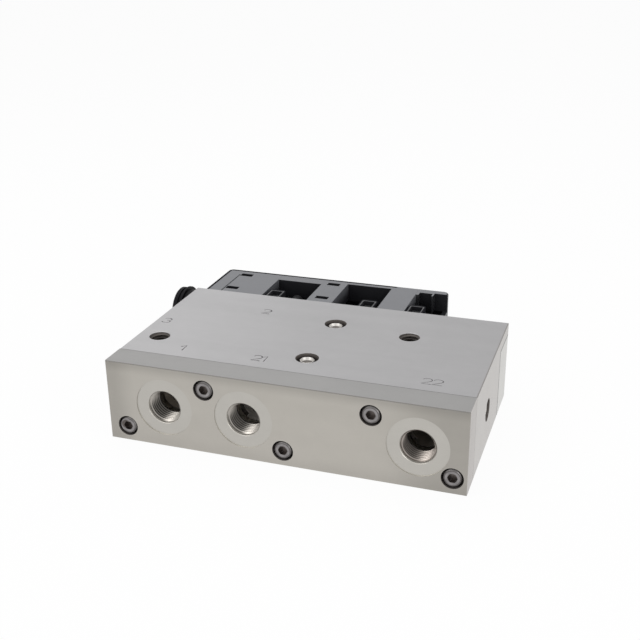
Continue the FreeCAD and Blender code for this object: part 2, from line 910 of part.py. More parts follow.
def build_pole_tube(number):
    """Pole piece with its screwed stem, welded to the armature's tube and the end stud."""
    body = new_body(f"pole_tube_{number}")
    stem = size.stem_radius
    groove_front = stem_front + size.seal_groove_place
    groove_rear = groove_front + size.seal_groove_width
    half = Outline(body, XY)
    pin = size.pin_radius + size.running_gap
    half.polygon((
        (pin, stem_front),
        (stem, stem_front),
        (stem, groove_front),
        (stem - size.seal_groove_depth, groove_front),
        (stem - size.seal_groove_depth, groove_rear),
        (stem, groove_rear),
        (stem, block_rear),
        (size.tube_radius, block_rear),
        (size.tube_radius, coil_rear),
        (size.stud_radius, coil_rear),
        (size.stud_radius, coil_rear + stud_length),
        (0, coil_rear + stud_length),
        (0, cavity_rear),
        (size.cavity_radius, cavity_rear),
        (size.cavity_radius, pole_rear),
        (pin, pole_rear),
    ))
    turn(half, "V")
    return keep(f"pole_tube_{number}", body)


def build_coil_cover(number, place, slot):
    """Moulded coil cover: a cup with a domed terminal hump and a snap lug for its slot."""
    body = new_body(f"coil_cover_{number}")
    cup = Outline(body, XZ, -coil_front)
    cup.circle(0, 0, size.coil_radius)
    pad(cup, size.coil_length, forward=False)
    add_hump(body)
    lug = Outline(body, XY)
    lug.box_around(
        slot - place,
        front_slot_row,
        size.tube_slot_length - 4 * size.loose_gap,
        size.slot_width - 4 * size.loose_gap,
    )
    pad(lug, housing_high - size.hook_end_gap - size.station_height)
    bore = Outline(body, XZ, -coil_front)
    bore.circle(0, 0, size.coil_radius - size.coil_wall)
    pocket(bore, size.coil_length - size.coil_end_wall)
    hole = Outline(body, XZ, -coil_front)
    hole.circle(0, 0, size.tube_radius + size.loose_gap)
    pocket(hole, size.coil_length)
    return keep(f"coil_cover_{number}", body)


def add_hump(body):
    """Domed hump over the terminals, near the rear end of the cover."""
    radius = size.hump_width / 2
    centre = size.hump_height - radius
    shift = size.hump_end_gap - coil_rear
    foot = Outline(body, XZ, shift)
    foot.rectangle(-radius, radius, 0, centre)
    pad(foot, size.hump_length)
    dome = Outline(body, XZ, shift)
    dome.circle(0, centre, radius)
    pad(dome, size.hump_length)


def build_bobbin(number):
    """Bobbin that carries the winding."""
    body = new_body(f"bobbin_{number}")
    inner = size.tube_radius + size.running_gap
    tube = inner + size.bobbin_wall
    flange = size.coil_radius - size.coil_wall - size.loose_gap
    rear = coil_rear - size.coil_end_wall - size.running_gap
    half = Outline(body, XY)
    half.polygon((
        (inner, coil_front),
        (flange, coil_front),
        (flange, coil_front + size.bobbin_flange),
        (tube, coil_front + size.bobbin_flange),
        (tube, rear - size.bobbin_flange),
        (flange, rear - size.bobbin_flange),
        (flange, rear),
        (inner, rear),
    ))
    turn(half, "V")
    return keep(f"bobbin_{number}", body)


def build_winding(number):
    """Copper winding between the bobbin's flanges."""
    body = new_body(f"winding_{number}")
    inner = size.tube_radius + size.bobbin_wall + 2 * size.running_gap
    outer = size.coil_radius - size.coil_wall - size.loose_gap - size.winding_gap
    front = coil_front + size.bobbin_flange
    rear = coil_rear - size.coil_end_wall - size.running_gap - size.bobbin_flange
    half = Outline(body, XY)
    half.rectangle(inner, outer, front, rear)
    turn(half, "V")
    return keep(f"winding_{number}", body)


def build_spring(number, place):
    """Return spring in front of the spool: square wire on a helix."""
    turns = size.spring_turns.number
    wire = size.spring_wire_radius.number
    radius = size.spring_radius.number
    coiled = size.spring_length.number - 2 * wire
    helix = Part.makeHelix(coiled / turns, coiled, radius)
    corners = [
        FreeCAD.Vector(radius + across * wire, 0, up * wire)
        for across, up in ((-1, -1), (1, -1), (1, 1), (-1, 1), (-1, -1))
    ]
    spring = doc.addObject("Part::Feature", f"spool_spring_{number}")
    spring.Shape = helix.makePipeShell([Part.makePolygon(corners)], True, True)
    spring.Placement = FreeCAD.Placement(
        FreeCAD.Vector(place.number, spool_front.number - wire, size.station_height.number),
        FreeCAD.Rotation(FreeCAD.Vector(1, 0, 0), 90),
    )
    return keep(f"spool_spring_{number}", spring)


def build_station(number, place, slot):
    """All pieces of one valve and its solenoid."""
    pieces = (
        build_spool(number),
        build_push_pin(number),
        build_armature(number),
        build_pole_tube(number),
        build_coil_cover(number, place, slot),
        build_bobbin(number),
        build_winding(number),
    )
    for piece in pieces:
        stand_at(piece, place, 0, size.station_height)
    build_spring(number, place)


def build_pole_tube_seals():
    """Sealing rings, squeezed in the grooves of the three stems."""
    body = new_body("pole_tube_seal")
    inner = size.stem_radius - size.seal_groove_depth + size.running_gap
    middle = stem_front + size.seal_groove_place + size.seal_groove_width / 2
    half_width = size.seal_groove_width / 2 - size.loose_gap
    half = Outline(body, XY)
    half.rectangle(inner, size.stem_radius, middle - half_width, middle + half_width)
    turn(half, "V")
    copies("pole_tube_seals", body, [(place, 0, size.station_height) for place in stations])


def build_coil_nuts():
    """Hexagon nuts that hold the coils on the pole tubes' studs."""
    body = new_body("coil_nut")
    hexagon = Outline(body, XZ, -coil_rear)
    hexagon.hexagon(0, 0, size.coil_nut_flats)
    pad(hexagon, size.coil_nut_height, forward=False)
    hole = Outline(body, XZ, -coil_rear)
    hole.circle(0, 0, size.stud_radius + size.running_gap)
    pocket(hole, size.coil_nut_height)
    copies("coil_nuts", body, [(place, 0, size.station_height) for place in stations])


# The moulded housing: shell, lid, gasket and the connector with its contacts.

def rounded_rectangle(outline, left, right, low, high, radius):
    """Add a rectangle whose two far corners are rounded, as the shell and its tubes have."""
    left, right = as_length(left), as_length(right)
    low, high, radius = as_length(low), as_length(high), as_length(radius)
    sketch = outline.sketch
    up = FreeCAD.Vector(0, 0, 1)
    points = (
        (left, low),
        (right, low),
        (right, high - radius),
        (right - radius, high),
        (left + radius, high),
        (left, high - radius),
    )
    corners = [FreeCAD.Vector(x.number, y.number, 0) for x, y in points]
    bottom = sketch.addGeometry(Part.LineSegment(corners[0], corners[1]))
    side = sketch.addGeometry(Part.LineSegment(corners[1], corners[2]))
    centre = FreeCAD.Vector(corners[3].x, corners[2].y, 0)
    circle = Part.Circle(centre, up, radius.number)
    first = sketch.addGeometry(Part.ArcOfCircle(circle, 0, math.pi / 2))
    top = sketch.addGeometry(Part.LineSegment(corners[3], corners[4]))
    centre = FreeCAD.Vector(corners[4].x, corners[5].y, 0)
    circle = Part.Circle(centre, up, radius.number)
    second = sketch.addGeometry(Part.ArcOfCircle(circle, math.pi / 2, math.pi))
    last = sketch.addGeometry(Part.LineSegment(corners[5], corners[0]))
    for one, one_end, two, two_end in (
        (bottom, 2, side, 1),
        (side, 2, first, 1),
        (first, 2, top, 1),
        (top, 2, second, 1),
        (second, 2, last, 1),
        (last, 2, bottom, 1),
    ):
        sketch.addConstraint(Sketcher.Constraint("Coincident", one, one_end, two, two_end))
    starts = (bottom, side, first, top, second, last)
    for item, (x, y) in zip(starts, points):
        outline.place(item, 1, x, y)
    outline.tie("Radius", radius, first)
    outline.tie("Radius", radius, second)
    return outline


def build_housing_shell():
    """Moulded shell: wells with skirts, slots in bosses and tubes, ribs and a lid seat."""
    body = new_body("housing_shell")
    outer = Outline(body, XY, housing_low)
    sides = (size.housing_left, housing_right, shell_front, housing_rear)
    rounded_rectangle(outer, *sides, size.corner_radius)
    pad(outer, housing_high - housing_low)
    top_edge = level_edge(housing_high)
    front = shell_front.number

    def rim(edge):
        return top_edge(edge) and edge.BoundBox.YMax > front + 0.01

    break_edges(body, rim, size.rim_radius, "PartDesign::Fillet")
    hollow_out(body)
    add_skirts_and_tubes(body)
    cut_wells_and_slots(body)
    cut_shell_walls(body)
    return keep("housing_shell", body)


def hollow_out(body):
    """Open the shell from below, with a step that the lid sits in."""
    cavity = Outline(body, XY, housing_low)
    cavity.rectangle(
        shell_inside_left, shell_inside_right, shell_inside_front, shell_inside_rear
    )
    pocket(cavity, shell_inside_top - housing_low, forward=True)
    seat = Outline(body, XY, housing_low)
    step = size.lid_seat
    seat.rectangle(
        shell_inside_left - step,
        shell_inside_right + step,
        shell_inside_front - step,
        shell_inside_rear + step,
    )
    pocket(seat, size.lid_thickness, forward=True)


def add_skirts_and_tubes(body):
    """Hang skirts round the wells and bosses round the slots under the top plate."""
    skirt = size.well_skirt
    for left, right, rear in (
        (first_well_left - skirt, first_well_right + skirt, first_well_rear + skirt),
        (second_well_left - skirt, second_well_right + skirt, shell_inside_rear),
        (third_well_left - skirt, shell_inside_right, shell_inside_rear),
    ):
        frame = Outline(body, XY, well_low)
        frame.rectangle(left, right, shell_inside_front, rear)
        pad(frame, well_depth - size.rim_radius)
    low = housing_high - size.slot_boss_depth
    wide = size.slot_length + 2 * size.slot_boss_wall
    deep = size.slot_width + 2 * size.slot_boss_wall
    for row in (front_slot_row, rear_slot_row):
        for place in lid_slots:
            boss = Outline(body, XY, low)
            boss.box_around(place, row, wide, deep)
            pad(boss, size.slot_boss_depth - size.rim_radius)


def cut_wells_and_slots(body):
    """Cut the wells, leave the slot tubes standing in them, and cut every slot."""
    top = housing_high
    past_right = housing_right + size.wall
    for left, right, rear in (
        (first_well_left, first_well_right, first_well_rear),
        (second_well_left, second_well_right, second_well_rear),
        (third_well_left, past_right, first_well_rear),
        (third_well_step, past_right, second_well_rear),
    ):
        well = Outline(body, XY, top)
        well.rectangle(left, right, well_front, rear)
        pocket(well, well_depth)
    inner = size.tube_slot_length / 2
    outer = inner + size.slot_tube_wall
    far = front_slot_row + size.slot_width / 2
    corner = size.slot_tube_corner
    for place in tube_slots:
        tube = Outline(body, XY, well_low)
        sides = (place - outer, place + outer, well_front - size.wall, far + size.slot_tube_back)
        rounded_rectangle(tube, *sides, corner)
        pad(tube, well_depth)
        slot = Outline(body, XY, top)
        sides = (place - inner, place + inner, well_front, far)
        rounded_rectangle(slot, *sides, corner - size.slot_tube_wall)
        pocket(slot, well_depth)
    last = Outline(body, XY, top)
    last.box_around(slots[4], rear_slot_row, size.slot_length, size.slot_width)
    pocket(last, well_depth)
    for row in (front_slot_row, rear_slot_row):
        for place in lid_slots:
            slot = Outline(body, XY, top)
            slot.box_around(place, row, size.slot_length, size.slot_width)
            pocket(slot, size.latch_depth)
            throat = Outline(body, XY, top)
            near = row - size.slot_width / 2
            half = size.slot_length / 2
            throat.rectangle(place - half, place + half, near, near + size.latch_gap)
            pocket(throat, size.slot_boss_depth)
    groove = Outline(body, XY, top)
    left = size.housing_left + size.groove_place
    groove.rectangle(
        left, left + size.groove_width, shell_inside_front, first_well_rear + size.well_skirt
    )
    pocket(groove, size.groove_depth)


def cut_shell_walls(body):
    """Holes for pole tubes and screws in the front wall and for the connector in the left."""
    holes = Outline(body, XZ, -shell_front)
    for place in stations:
        holes.circle(place, size.station_height, size.tube_radius + 2 * size.loose_gap)
    for x, z in housing_screw_places:
        holes.circle(x, z, size.housing_screw_radius + size.loose_gap)
    pocket(holes, size.front_wall)
    opening = Outline(body, YZ, size.housing_left)
    opening.circle(
        connector_y, size.connector_height, size.spigot_radius + size.running_gap
    )
    pocket(opening, size.wall, forward=True)


def build_housing_lid():
    """Bottom lid with stiffening ribs and four long snap hooks."""
    body = new_body("housing_lid")
    edge = size.lid_seat - size.lid_gap
    plate = Outline(body, XY, housing_low)
    plate.rectangle(
        shell_inside_left - edge,
        shell_inside_right + edge,
        shell_inside_front - edge,
        shell_inside_rear + edge,
    )
    pad(plate, size.lid_thickness)
    for row in (front_slot_row, rear_slot_row):
        for place in lid_slots:
            add_hook(body, place, row)
    inside_gap = size.lid_gap + size.loose_gap
    for place in ribs:
        for near, far in (
            (shell_inside_front + inside_gap, front_slot_row - size.hook_thickness),
            (rear_slot_row - 3 * size.hook_thickness, shell_inside_rear - inside_gap),
        ):
            rib = Outline(body, XY, lid_inside)
            rib.rectangle(place - size.rib_thickness / 2, place + size.rib_thickness / 2, near, far)
            pad(rib, size.rib_height)
    return keep("housing_lid", body)


def add_hook(body, place, row):
    """One snap hook: a tall leg with a sloped nose that rests on the latch in its slot."""
    near = row - size.slot_width / 2 + size.hook_back_gap
    far = near + size.hook_thickness
    latch = housing_high - size.latch_depth + size.loose_gap
    tip = latch + size.hook_nose_height
    side = Outline(body, YZ, place - size.hook_width / 2)
    side.polygon((
        (near, lid_inside),
        (far, lid_inside),
        (far, latch),
        (far + size.hook_nose, latch),
        (far, tip),
        (near, tip),
    ))
    pad(side, size.hook_width)


def build_housing_gasket():
    """Sheet gasket between the block's rear face and the housing."""
    body = new_body("housing_gasket")
    inset = size.housing_gasket_inset
    sheet = Outline(body, XZ, -block_rear)
    sheet.rectangle(
        size.housing_left + inset,
        housing_right - inset,
        housing_low + inset,
        housing_high - inset,
    )
    pad(sheet, size.housing_gasket_thickness, forward=False)
    holes = Outline(body, XZ, -block_rear)
    for place in stations:
        holes.circle(place, size.station_height, size.tube_radius + 2 * size.loose_gap)
    for x, z in housing_screw_places:
        holes.circle(x, z, size.housing_screw_radius + size.loose_gap)
    pocket(holes, size.housing_gasket_thickness)
    return keep("housing_gasket", body)


# The connector. Its own origin lies on its axis, where it meets the housing's left wall.

def build_connector_body():
    """Round bayonet connector: collar, groove, flange, neck and base, with a keyed socket."""
    body = new_body("connector_body")
    end = -size.connector_length
    collar = end + size.collar_length
    groove = collar + size.bayonet_groove_length
    flange = groove + size.flange_length
    rounding = size.collar_rounding
    socket = end + size.socket_depth
    seal_in = size.connector_seal_radius - size.connector_seal_wire
    seal_out = size.connector_seal_radius + size.connector_seal_wire
    seal_depth = -2 * size.connector_seal_wire
    half = Outline(body, XY)
    half.polygon((
        (end + rounding, size.socket_radius),
        (end, size.socket_radius + rounding),
        (end, size.collar_radius - rounding),
        (end + rounding, size.collar_radius),
        (collar, size.collar_radius),
        (collar, size.bayonet_groove_radius),
        (groove, size.bayonet_groove_radius),
        (groove, size.flange_radius - rounding),
        (groove + rounding, size.flange_radius),
        (flange, size.flange_radius),
        (flange, size.neck_radius),
        (-size.base_length, size.neck_radius),
        (-size.base_length, size.base_radius),
        (0, size.base_radius),
        (0, seal_out),
        (seal_depth, seal_out),
        (seal_depth, seal_in),
        (0, seal_in),
        (0, size.spigot_radius),
        (size.wall + size.spigot_length, size.spigot_radius),
        (size.wall + size.spigot_length, 0),
        (socket, 0),
        (socket, size.socket_radius),
    ))
    turn(half, "H")
    key = Outline(body, YZ, end + size.collar_length)
    key.rectangle(
        -size.key_width / 2,
        size.key_width / 2,
        size.socket_radius - size.key_height,
        size.socket_radius + size.key_height / 2,
    )
    pad(key, size.socket_depth - size.collar_length)
    holes = Outline(body, YZ, socket)
    for across, up in contact_places():
        holes.circle(across, up, size.contact_radius + size.running_gap)
    pocket(holes, size.wall + size.spigot_length - socket, forward=True)
    stand_at(body, size.housing_left, connector_y, size.connector_height)
    return keep("connector_body", body)


def contact_places():
    """Centres of the four contacts, zigzag about the connector's axis."""
    places = []
    for step in range(4):
        across = size.contact_pitch * (step - 1.5)
        up = size.contact_stagger * (1 if step % 2 else -1)
        places.append((across, up))
    return places


def build_connector_pins():
    """Four turned contacts with rounded tips, through the connector's floor."""
    start = size.socket_depth - size.connector_length - size.contact_reach
    finish = size.wall + size.spigot_length + size.contact_tail
    radius = size.contact_radius
    master = new_body("contact")
    half = Outline(master, XY)
    half.polygon((
        (start, 0),
        (start, radius / 2),
        (start + radius / 2, radius),
        (finish, radius),
        (finish, 0),
    ))
    turn(half, "H")
    places = []
    for across, up in contact_places():
        y = connector_y + across
        places.append((size.housing_left, y, size.connector_height + up))
    copies("connector_pins", master, places)


def build_contact_strips():
    """Four flat strips on the lid, from the contacts' tails to the coils' terminals."""
    start = shell_inside_left + size.spigot_length + size.contact_tail
    coil_low = size.station_height - size.coil_radius - size.running_gap
    strips = []
    ends = (stations[0], stations[1], stations[2], stations[2])
    for number, ((across, up), end) in enumerate(zip(contact_places(), ends), start=1):
        strip = new_body(f"contact_strip_{number}")
        y = connector_y + across
        half = size.strip_width / 2
        top = size.connector_height + up + size.contact_radius
        side = Outline(strip, XZ, half - y)
        thick = size.strip_thickness
        far = end + size.strip_tab / 2
        side.polygon((
            (start, lid_inside),
            (far, lid_inside),
            (far, coil_low),
            (far - size.strip_tab, coil_low),
            (far - size.strip_tab, lid_inside + thick),
            (start + thick, lid_inside + thick),
            (start + thick, top),
            (start, top),
        ))
        pad(side, size.strip_width, forward=False)
        strips.append(strip)
    group = doc.addObject("Part::Compound", "contact_strips")
    group.Links = strips
    keep("contact_strips", group)


def build_connector_nut():
    """Ring nut on the connector's spigot, inside the housing's left wall."""
    body = new_body("connector_nut")
    ring = Outline(body, YZ, size.wall)
    ring.circle(0, 0, size.connector_nut_radius)
    pad(ring, size.connector_nut_length)
    hole = Outline(body, YZ, size.wall)
    hole.circle(0, 0, size.spigot_radius + size.running_gap)
    pocket(hole, size.connector_nut_length, forward=True)
    stand_at(body, size.housing_left, connector_y, size.connector_height)
    return keep("connector_nut", body)


def build_connector_seal():
    """Sealing ring, squeezed in the groove of the connector's neck."""
    body = new_body("connector_seal")
    reach = size.connector_seal_wire - size.running_gap
    radius = size.connector_seal_radius
    half = Outline(body, XY)
    half.rectangle(-size.connector_seal_wire - reach, 0, radius - reach, radius + reach)
    turn(half, "H")
    stand_at(body, size.housing_left, connector_y, size.connector_height)
    return keep("connector_seal", body)


def build_all():
    """Build every sub-part."""
    build_front_plate()
    build_main_block()
    build_rear_plate()
    build_front_gasket()
    build_rear_gasket()
    build_screws()
    build_gallery_plugs()
    for number, (place, slot) in enumerate(zip(stations, tube_slots), start=1):
        build_station(number, place, slot)
    build_pole_tube_seals()
    build_coil_nuts()
    build_housing_shell()
    build_housing_lid()
    build_housing_gasket()
    build_connector_body()
    build_connector_pins()
    build_contact_strips()
    build_connector_nut()
    build_connector_seal()


def check_and_write():
    """Stop on any failed object or bad shape, then write one file for each sub-part."""
    doc.recompute()
    for thing in doc.Objects:
        if "Invalid" in thing.State or "Error" in thing.State:
            raise RuntimeError(f"{thing.Label} failed: {thing.State}")
    for label, thing in nodes.items():
        if thing.Shape.isNull() or not thing.Shape.isValid():
            raise RuntimeError(f"{label} has no valid shape")
    os.makedirs("parts", exist_ok=True)
    for label, thing in nodes.items():
        thing.Shape.exportStep(f"parts/{label}.step")
        print(f"{label}: {len(thing.Shape.Solids)} solids, {thing.Shape.Volume:.1f} mm3")


build_all()
check_and_write()
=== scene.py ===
"""Looks of a valve block with a moulded electrical housing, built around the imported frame.

Lengths are in metres in the frame's own axes: X runs along the block, Y from the port face to
the housing, and Z is up.
"""

import json
import logging
import math
from dataclasses import dataclass, field
from enum import Enum
from functools import cached_property, reduce
from typing import ClassVar, Iterable, Sequence, Union

import bmesh
import bpy
from mathutils import Matrix, Vector


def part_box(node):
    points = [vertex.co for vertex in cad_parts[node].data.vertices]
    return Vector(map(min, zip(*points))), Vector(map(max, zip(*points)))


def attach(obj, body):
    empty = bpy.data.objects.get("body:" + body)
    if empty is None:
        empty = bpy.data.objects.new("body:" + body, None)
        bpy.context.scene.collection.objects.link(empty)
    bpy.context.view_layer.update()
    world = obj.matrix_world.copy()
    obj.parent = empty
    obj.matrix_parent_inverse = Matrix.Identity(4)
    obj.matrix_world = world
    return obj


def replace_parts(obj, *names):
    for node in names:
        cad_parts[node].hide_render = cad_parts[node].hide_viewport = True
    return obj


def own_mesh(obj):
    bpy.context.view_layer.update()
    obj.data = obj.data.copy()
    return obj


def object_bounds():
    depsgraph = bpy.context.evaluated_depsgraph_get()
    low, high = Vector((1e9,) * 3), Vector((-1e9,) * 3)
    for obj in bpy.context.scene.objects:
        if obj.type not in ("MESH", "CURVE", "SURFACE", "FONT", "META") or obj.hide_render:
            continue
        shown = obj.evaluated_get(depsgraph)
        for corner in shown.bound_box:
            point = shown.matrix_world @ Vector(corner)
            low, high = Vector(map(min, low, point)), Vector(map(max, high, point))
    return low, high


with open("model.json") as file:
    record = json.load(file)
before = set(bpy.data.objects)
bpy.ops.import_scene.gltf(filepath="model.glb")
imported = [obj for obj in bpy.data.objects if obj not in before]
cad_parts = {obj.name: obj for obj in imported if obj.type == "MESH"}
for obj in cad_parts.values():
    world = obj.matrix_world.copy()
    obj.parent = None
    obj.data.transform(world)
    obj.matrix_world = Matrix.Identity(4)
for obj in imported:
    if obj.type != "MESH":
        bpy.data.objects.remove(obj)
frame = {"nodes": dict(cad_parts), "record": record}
cad_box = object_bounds()

log = logging.getLogger("valve_block")
MM = 0.001
WELD = 0.001 * MM
BLOCK = "block"
ALUMINIUM = "machined_aluminium"
STATIONS = (1, 2, 3)
X, Y, Z = range(3)
Triple = tuple[float, float, float]
Colour = Triple
Number = Union["Wire", float]
Tint = Union["Wire", Colour]
Span = tuple[float, float]
Point = tuple[float, float]


def srgb(red: int, green: int, blue: int) -> Colour:
    """Turn a colour as a screen shows it into linear light.

    Args:
        red: Red from 0 to 255.
        green: Green from 0 to 255.
        blue: Blue from 0 to 255.

    Returns:
        The three linear values.
    """
    shares = [value / 255 for value in (red, green, blue)]
    return tuple(
        share / 12.92 if share <= 0.04045 else ((share + 0.055) / 1.055) ** 2.4
        for share in shares
    )


def span(low: float, high: float) -> Span:
    """Turn two places in millimetres into metres."""
    return (low * MM, high * MM)


def around(middle: float, half: float) -> Span:
    """Turn a middle and a half width in millimetres into two places in metres."""
    return span(middle - half, middle + half)


class Wire:
    """A shader value that takes part in arithmetic."""

    def __init__(self, bench: "Bench", socket: bpy.types.NodeSocket) -> None:
        """Hold the bench that the value belongs to and its socket."""
        self.bench = bench
        self.socket = socket

    def __add__(self, other: Number) -> "Wire":
        """Sum of two values."""
        return self.bench.maths("ADD", self, other)

    def __sub__(self, other: Number) -> "Wire":
        """Difference of two values."""
        return self.bench.maths("SUBTRACT", self, other)

    def __rsub__(self, other: Number) -> "Wire":
        """Difference of two values, the plain number first."""
        return self.bench.maths("SUBTRACT", other, self)

    def __mul__(self, other: Number) -> "Wire":
        """Product of two values."""
        return self.bench.maths("MULTIPLY", self, other)

    def __neg__(self) -> "Wire":
        """The value with its sign turned."""
        return self.bench.maths("MULTIPLY", self, -1.0)

    __radd__, __rmul__ = __add__, __mul__


class Bench:
    """The node tree of one material or of the world, with short ways to fill it."""

    def __init__(self, tree: bpy.types.NodeTree) -> None:
        """Start on a node tree."""
        self.tree = tree

    def node(
        self, kind: str, settings: dict | None = None, inputs: dict | None = None
    ) -> bpy.types.Node:
        """Add one node.

        Args:
            kind: The node's type, without the leading ShaderNode.
            settings: Properties to set first.
            inputs: Values or wires of its sockets, by name or number.

        Returns:
            The new node.
        """
        made = self.tree.nodes.new("ShaderNode" + kind)
        for name, value in (settings or {}).items():
            setattr(made, name, value)
        self.feed(made, inputs or {})
        return made

    def feed(self, node: bpy.types.Node, inputs: dict) -> None:
        """Set or link input sockets of a node.

        Args:
            node: The node.
            inputs: Values or wires, by the socket's name or number.
        """
        for name, value in inputs.items():
            if isinstance(value, Wire):
                self.tree.links.new(value.socket, node.inputs[name])
            else:
                node.inputs[name].default_value = value

    def wire(
        self,
        kind: str,
        settings: dict | None = None,
        inputs: dict | None = None,
        output: int | str = 0,
    ) -> Wire:
        """Add one node and give one of its outputs, by name or number."""
        return Wire(self, self.node(kind, settings, inputs).outputs[output])

    def maths(self, operation: str, *values: Number) -> Wire:
        """Add a Math node on up to three values."""
        return self.wire("Math", {"operation": operation}, dict(enumerate(values)))

    def fold(self, operation: str, values: Iterable[Wire]) -> Wire:
        """Join any number of values by one operation, such as MINIMUM."""
        return reduce(lambda first, second: self.maths(operation, first, second), values)

    def eased(self, value: Wire, low: float, high: float) -> Wire:
        """Give 0 up to the low value, 1 from the high one and a soft rise between them."""
        inputs = {"Value": value, "From Min": low, "From Max": high}
        return self.wire("MapRange", {"interpolation_type": "SMOOTHSTEP"}, inputs)

    def varied(self, *parts: tuple[float, Wire]) -> Wire:
        """Give a tone about one, moved by a share of each value about one half."""
        return 1.0 + self.fold("ADD", [share * (value - 0.5) for share, value in parts])

    def own(self, attribute: str) -> Wire:
        """Give a number that the piece's own mesh holds at its points."""
        return self.wire("Attribute", {"attribute_name": attribute}, output="Fac")

    @cached_property
    def place(self) -> Wire:
        """The point on the piece, in metres."""
        return self.wire("TexCoord", output="Object")

    @cached_property
    def axes(self) -> tuple[Wire, Wire, Wire]:
        """How far the point lies along X, Y and Z."""
        parts = self.node("SeparateXYZ", inputs={0: self.place})
        return tuple(Wire(self, part) for part in parts.outputs)

    def noise(self, cells: float | Triple, detail: float) -> Wire:
        """Give smooth random values about one half.

        Args:
            cells: The number of cells to a metre, one number or one for each axis.
            detail: How many finer layers are added.

        Returns:
            The values.
        """
        scale = (cells, cells, cells) if isinstance(cells, float) else cells
        spread = self.wire("VectorMath", {"operation": "MULTIPLY"}, {0: self.place, 1: scale})
        return self.wire("TexNoise", inputs={"Vector": spread, "Scale": 1.0, "Detail": detail})

    def shaded(self, colour: Tint, shade: Wire) -> Wire:
        """Multiply a colour by a value."""
        return self.wire("VectorMath", {"operation": "SCALE"}, {0: colour, "Scale": shade})

    def mixed(self, factor: Wire, first: Tint, second: Tint) -> Wire:
        """Mix two colours by a value from 0 to 1."""
        ends = [end if isinstance(end, Wire) else (*end, 1.0) for end in (first, second)]
        return self.wire("Mix", {"data_type": "RGBA"}, {0: factor, 6: ends[0], 7: ends[1]}, 2)

    def bumped(self, height: Wire, distance: float) -> Wire:
        """Turn a height into a normal; distance is the height of 1, in metres."""
        inputs = {"Height": height, "Distance": distance, "Strength": 1.0}
        return self.wire("Bump", inputs=inputs)

    def ray_is(self, *kinds: str) -> Wire:
        """Give 1 for rays of any of the kinds, such as Is Camera Ray, and 0 for the others."""
        path = self.node("LightPath")
        return self.fold("MAXIMUM", [Wire(self, path.outputs[kind]) for kind in kinds])

    def cover(self, share: Wire, under: Wire, over: Wire) -> None:
        """Show one shader over another one, by a share from 0 to 1."""
        both = self.wire("MixShader", inputs={0: share, 1: under, 2: over})
        self.feed(self.tree.nodes["Material Output"], {"Surface": both})


@dataclass(frozen=True)
class Bore:
    """A round hole of the frame: its middle, the way out of it and its size."""

    centre: Vector
    out: Vector
    radius: float
    length: float

    @property
    def mouth(self) -> Vector:
        """The point where the full radius starts."""
        return self.centre + self.out * self.length / 2

    @property
    def stand(self) -> Matrix:
        """What moves a shape that hangs below the origin into the hole, from its mouth in."""
        turn = Vector((0, 0, 1)).rotation_difference(self.out).to_matrix().to_4x4()
        return Matrix.Translation(self.mouth) @ turn

    def measured(self, bench: Bench) -> tuple[Wire, Wire]:
        """Measure the point on the piece against the hole.

        Args:
            bench: The material's bench.

        Returns:
            Its distance from the hole's axis, and how far it lies out of the mouth.
        """
        offsets = [part - float(at) for part, at in zip(bench.axes, self.mouth)]
        along = max((X, Y, Z), key=lambda axis: abs(self.out[axis]))
        first, second = (offsets[axis] for axis in (X, Y, Z) if axis != along)
        away = bench.maths("SQRT", first * first + second * second)
        return away, offsets[along] * float(self.out[along])

    @staticmethod
    def of_mount(name: str) -> "Bore":
        """Read one threaded hole from the record.

        Args:
            name: The name of its mount.

        Returns:
            The hole.
        """
        mount = next(item for item in frame["record"]["mounts"] if item["name"] == name)
        size = mount["dims"]
        return Bore(
            Vector(mount["pos_m"]),
            Vector(mount["axis"]),
            size["r_mm"] * MM,
            size["length_mm"] * MM,
        )


def holes_along(
    axis: Sequence[float], radius: float, length: float, mouths: Iterable[Sequence[float]]
) -> tuple[Bore, ...]:
    """Describe equal holes.

    Args:
        axis: The way out of them.
        radius: Their radius in millimetres.
        length: Their length in millimetres.
        mouths: The middles of their mouths in millimetres.

    Returns:
        The holes.
    """
    out = Vector(axis)
    return tuple(
        Bore((Vector(mouth) - out * length / 2) * MM, out, radius * MM, length * MM)
        for mouth in mouths
    )


PORTS = {name: Bore.of_mount(name) for name in ("port_1", "port_21", "port_22", "port_3")}
FRONT_PORTS = (PORTS["port_1"], PORTS["port_21"], PORTS["port_22"])
FIXING_HOLES = [Bore.of_mount(name) for name in ("mounting_hole_left", "mounting_hole_right")]
PLUGS = (
    *holes_along((0, 0, 1), 5.5, 3.4, mouths=((3.15, -19.6, 40), (3.15, 23.2, 40))),
    *holes_along((1, 0, 0), 5.5, 3.4, mouths=((85, -4.5, 18.6),)),
)
FRONT_SCREWS = holes_along(
    (0, -1, 0),
    radius=5.0,
    length=5.25,
    mouths=[(x, -50, 7.5) for x in (-75.8, 1.7, 78.5)] + [(x, -50, 31.8) for x in (-35.8, 42.3)],
)
REAR_SCREWS = holes_along(
    (0, 1, 0),
    radius=5.0,
    length=5.25,
    mouths=[(x, 50, z) for x in (-77.0, -16.6, 70.0) for z in (8.0, 26.0)],
)
SUPPLY_DRILLING = holes_along((0, -1, 0), 7.3, 36.0, mouths=((-56.2, -35.8, 20),))
OUTLET_DRILLINGS = holes_along(
    (0, -1, 0), 7.3, 22.5, mouths=((-17.0, -35.8, 20), (63.2, -35.8, 20))
)


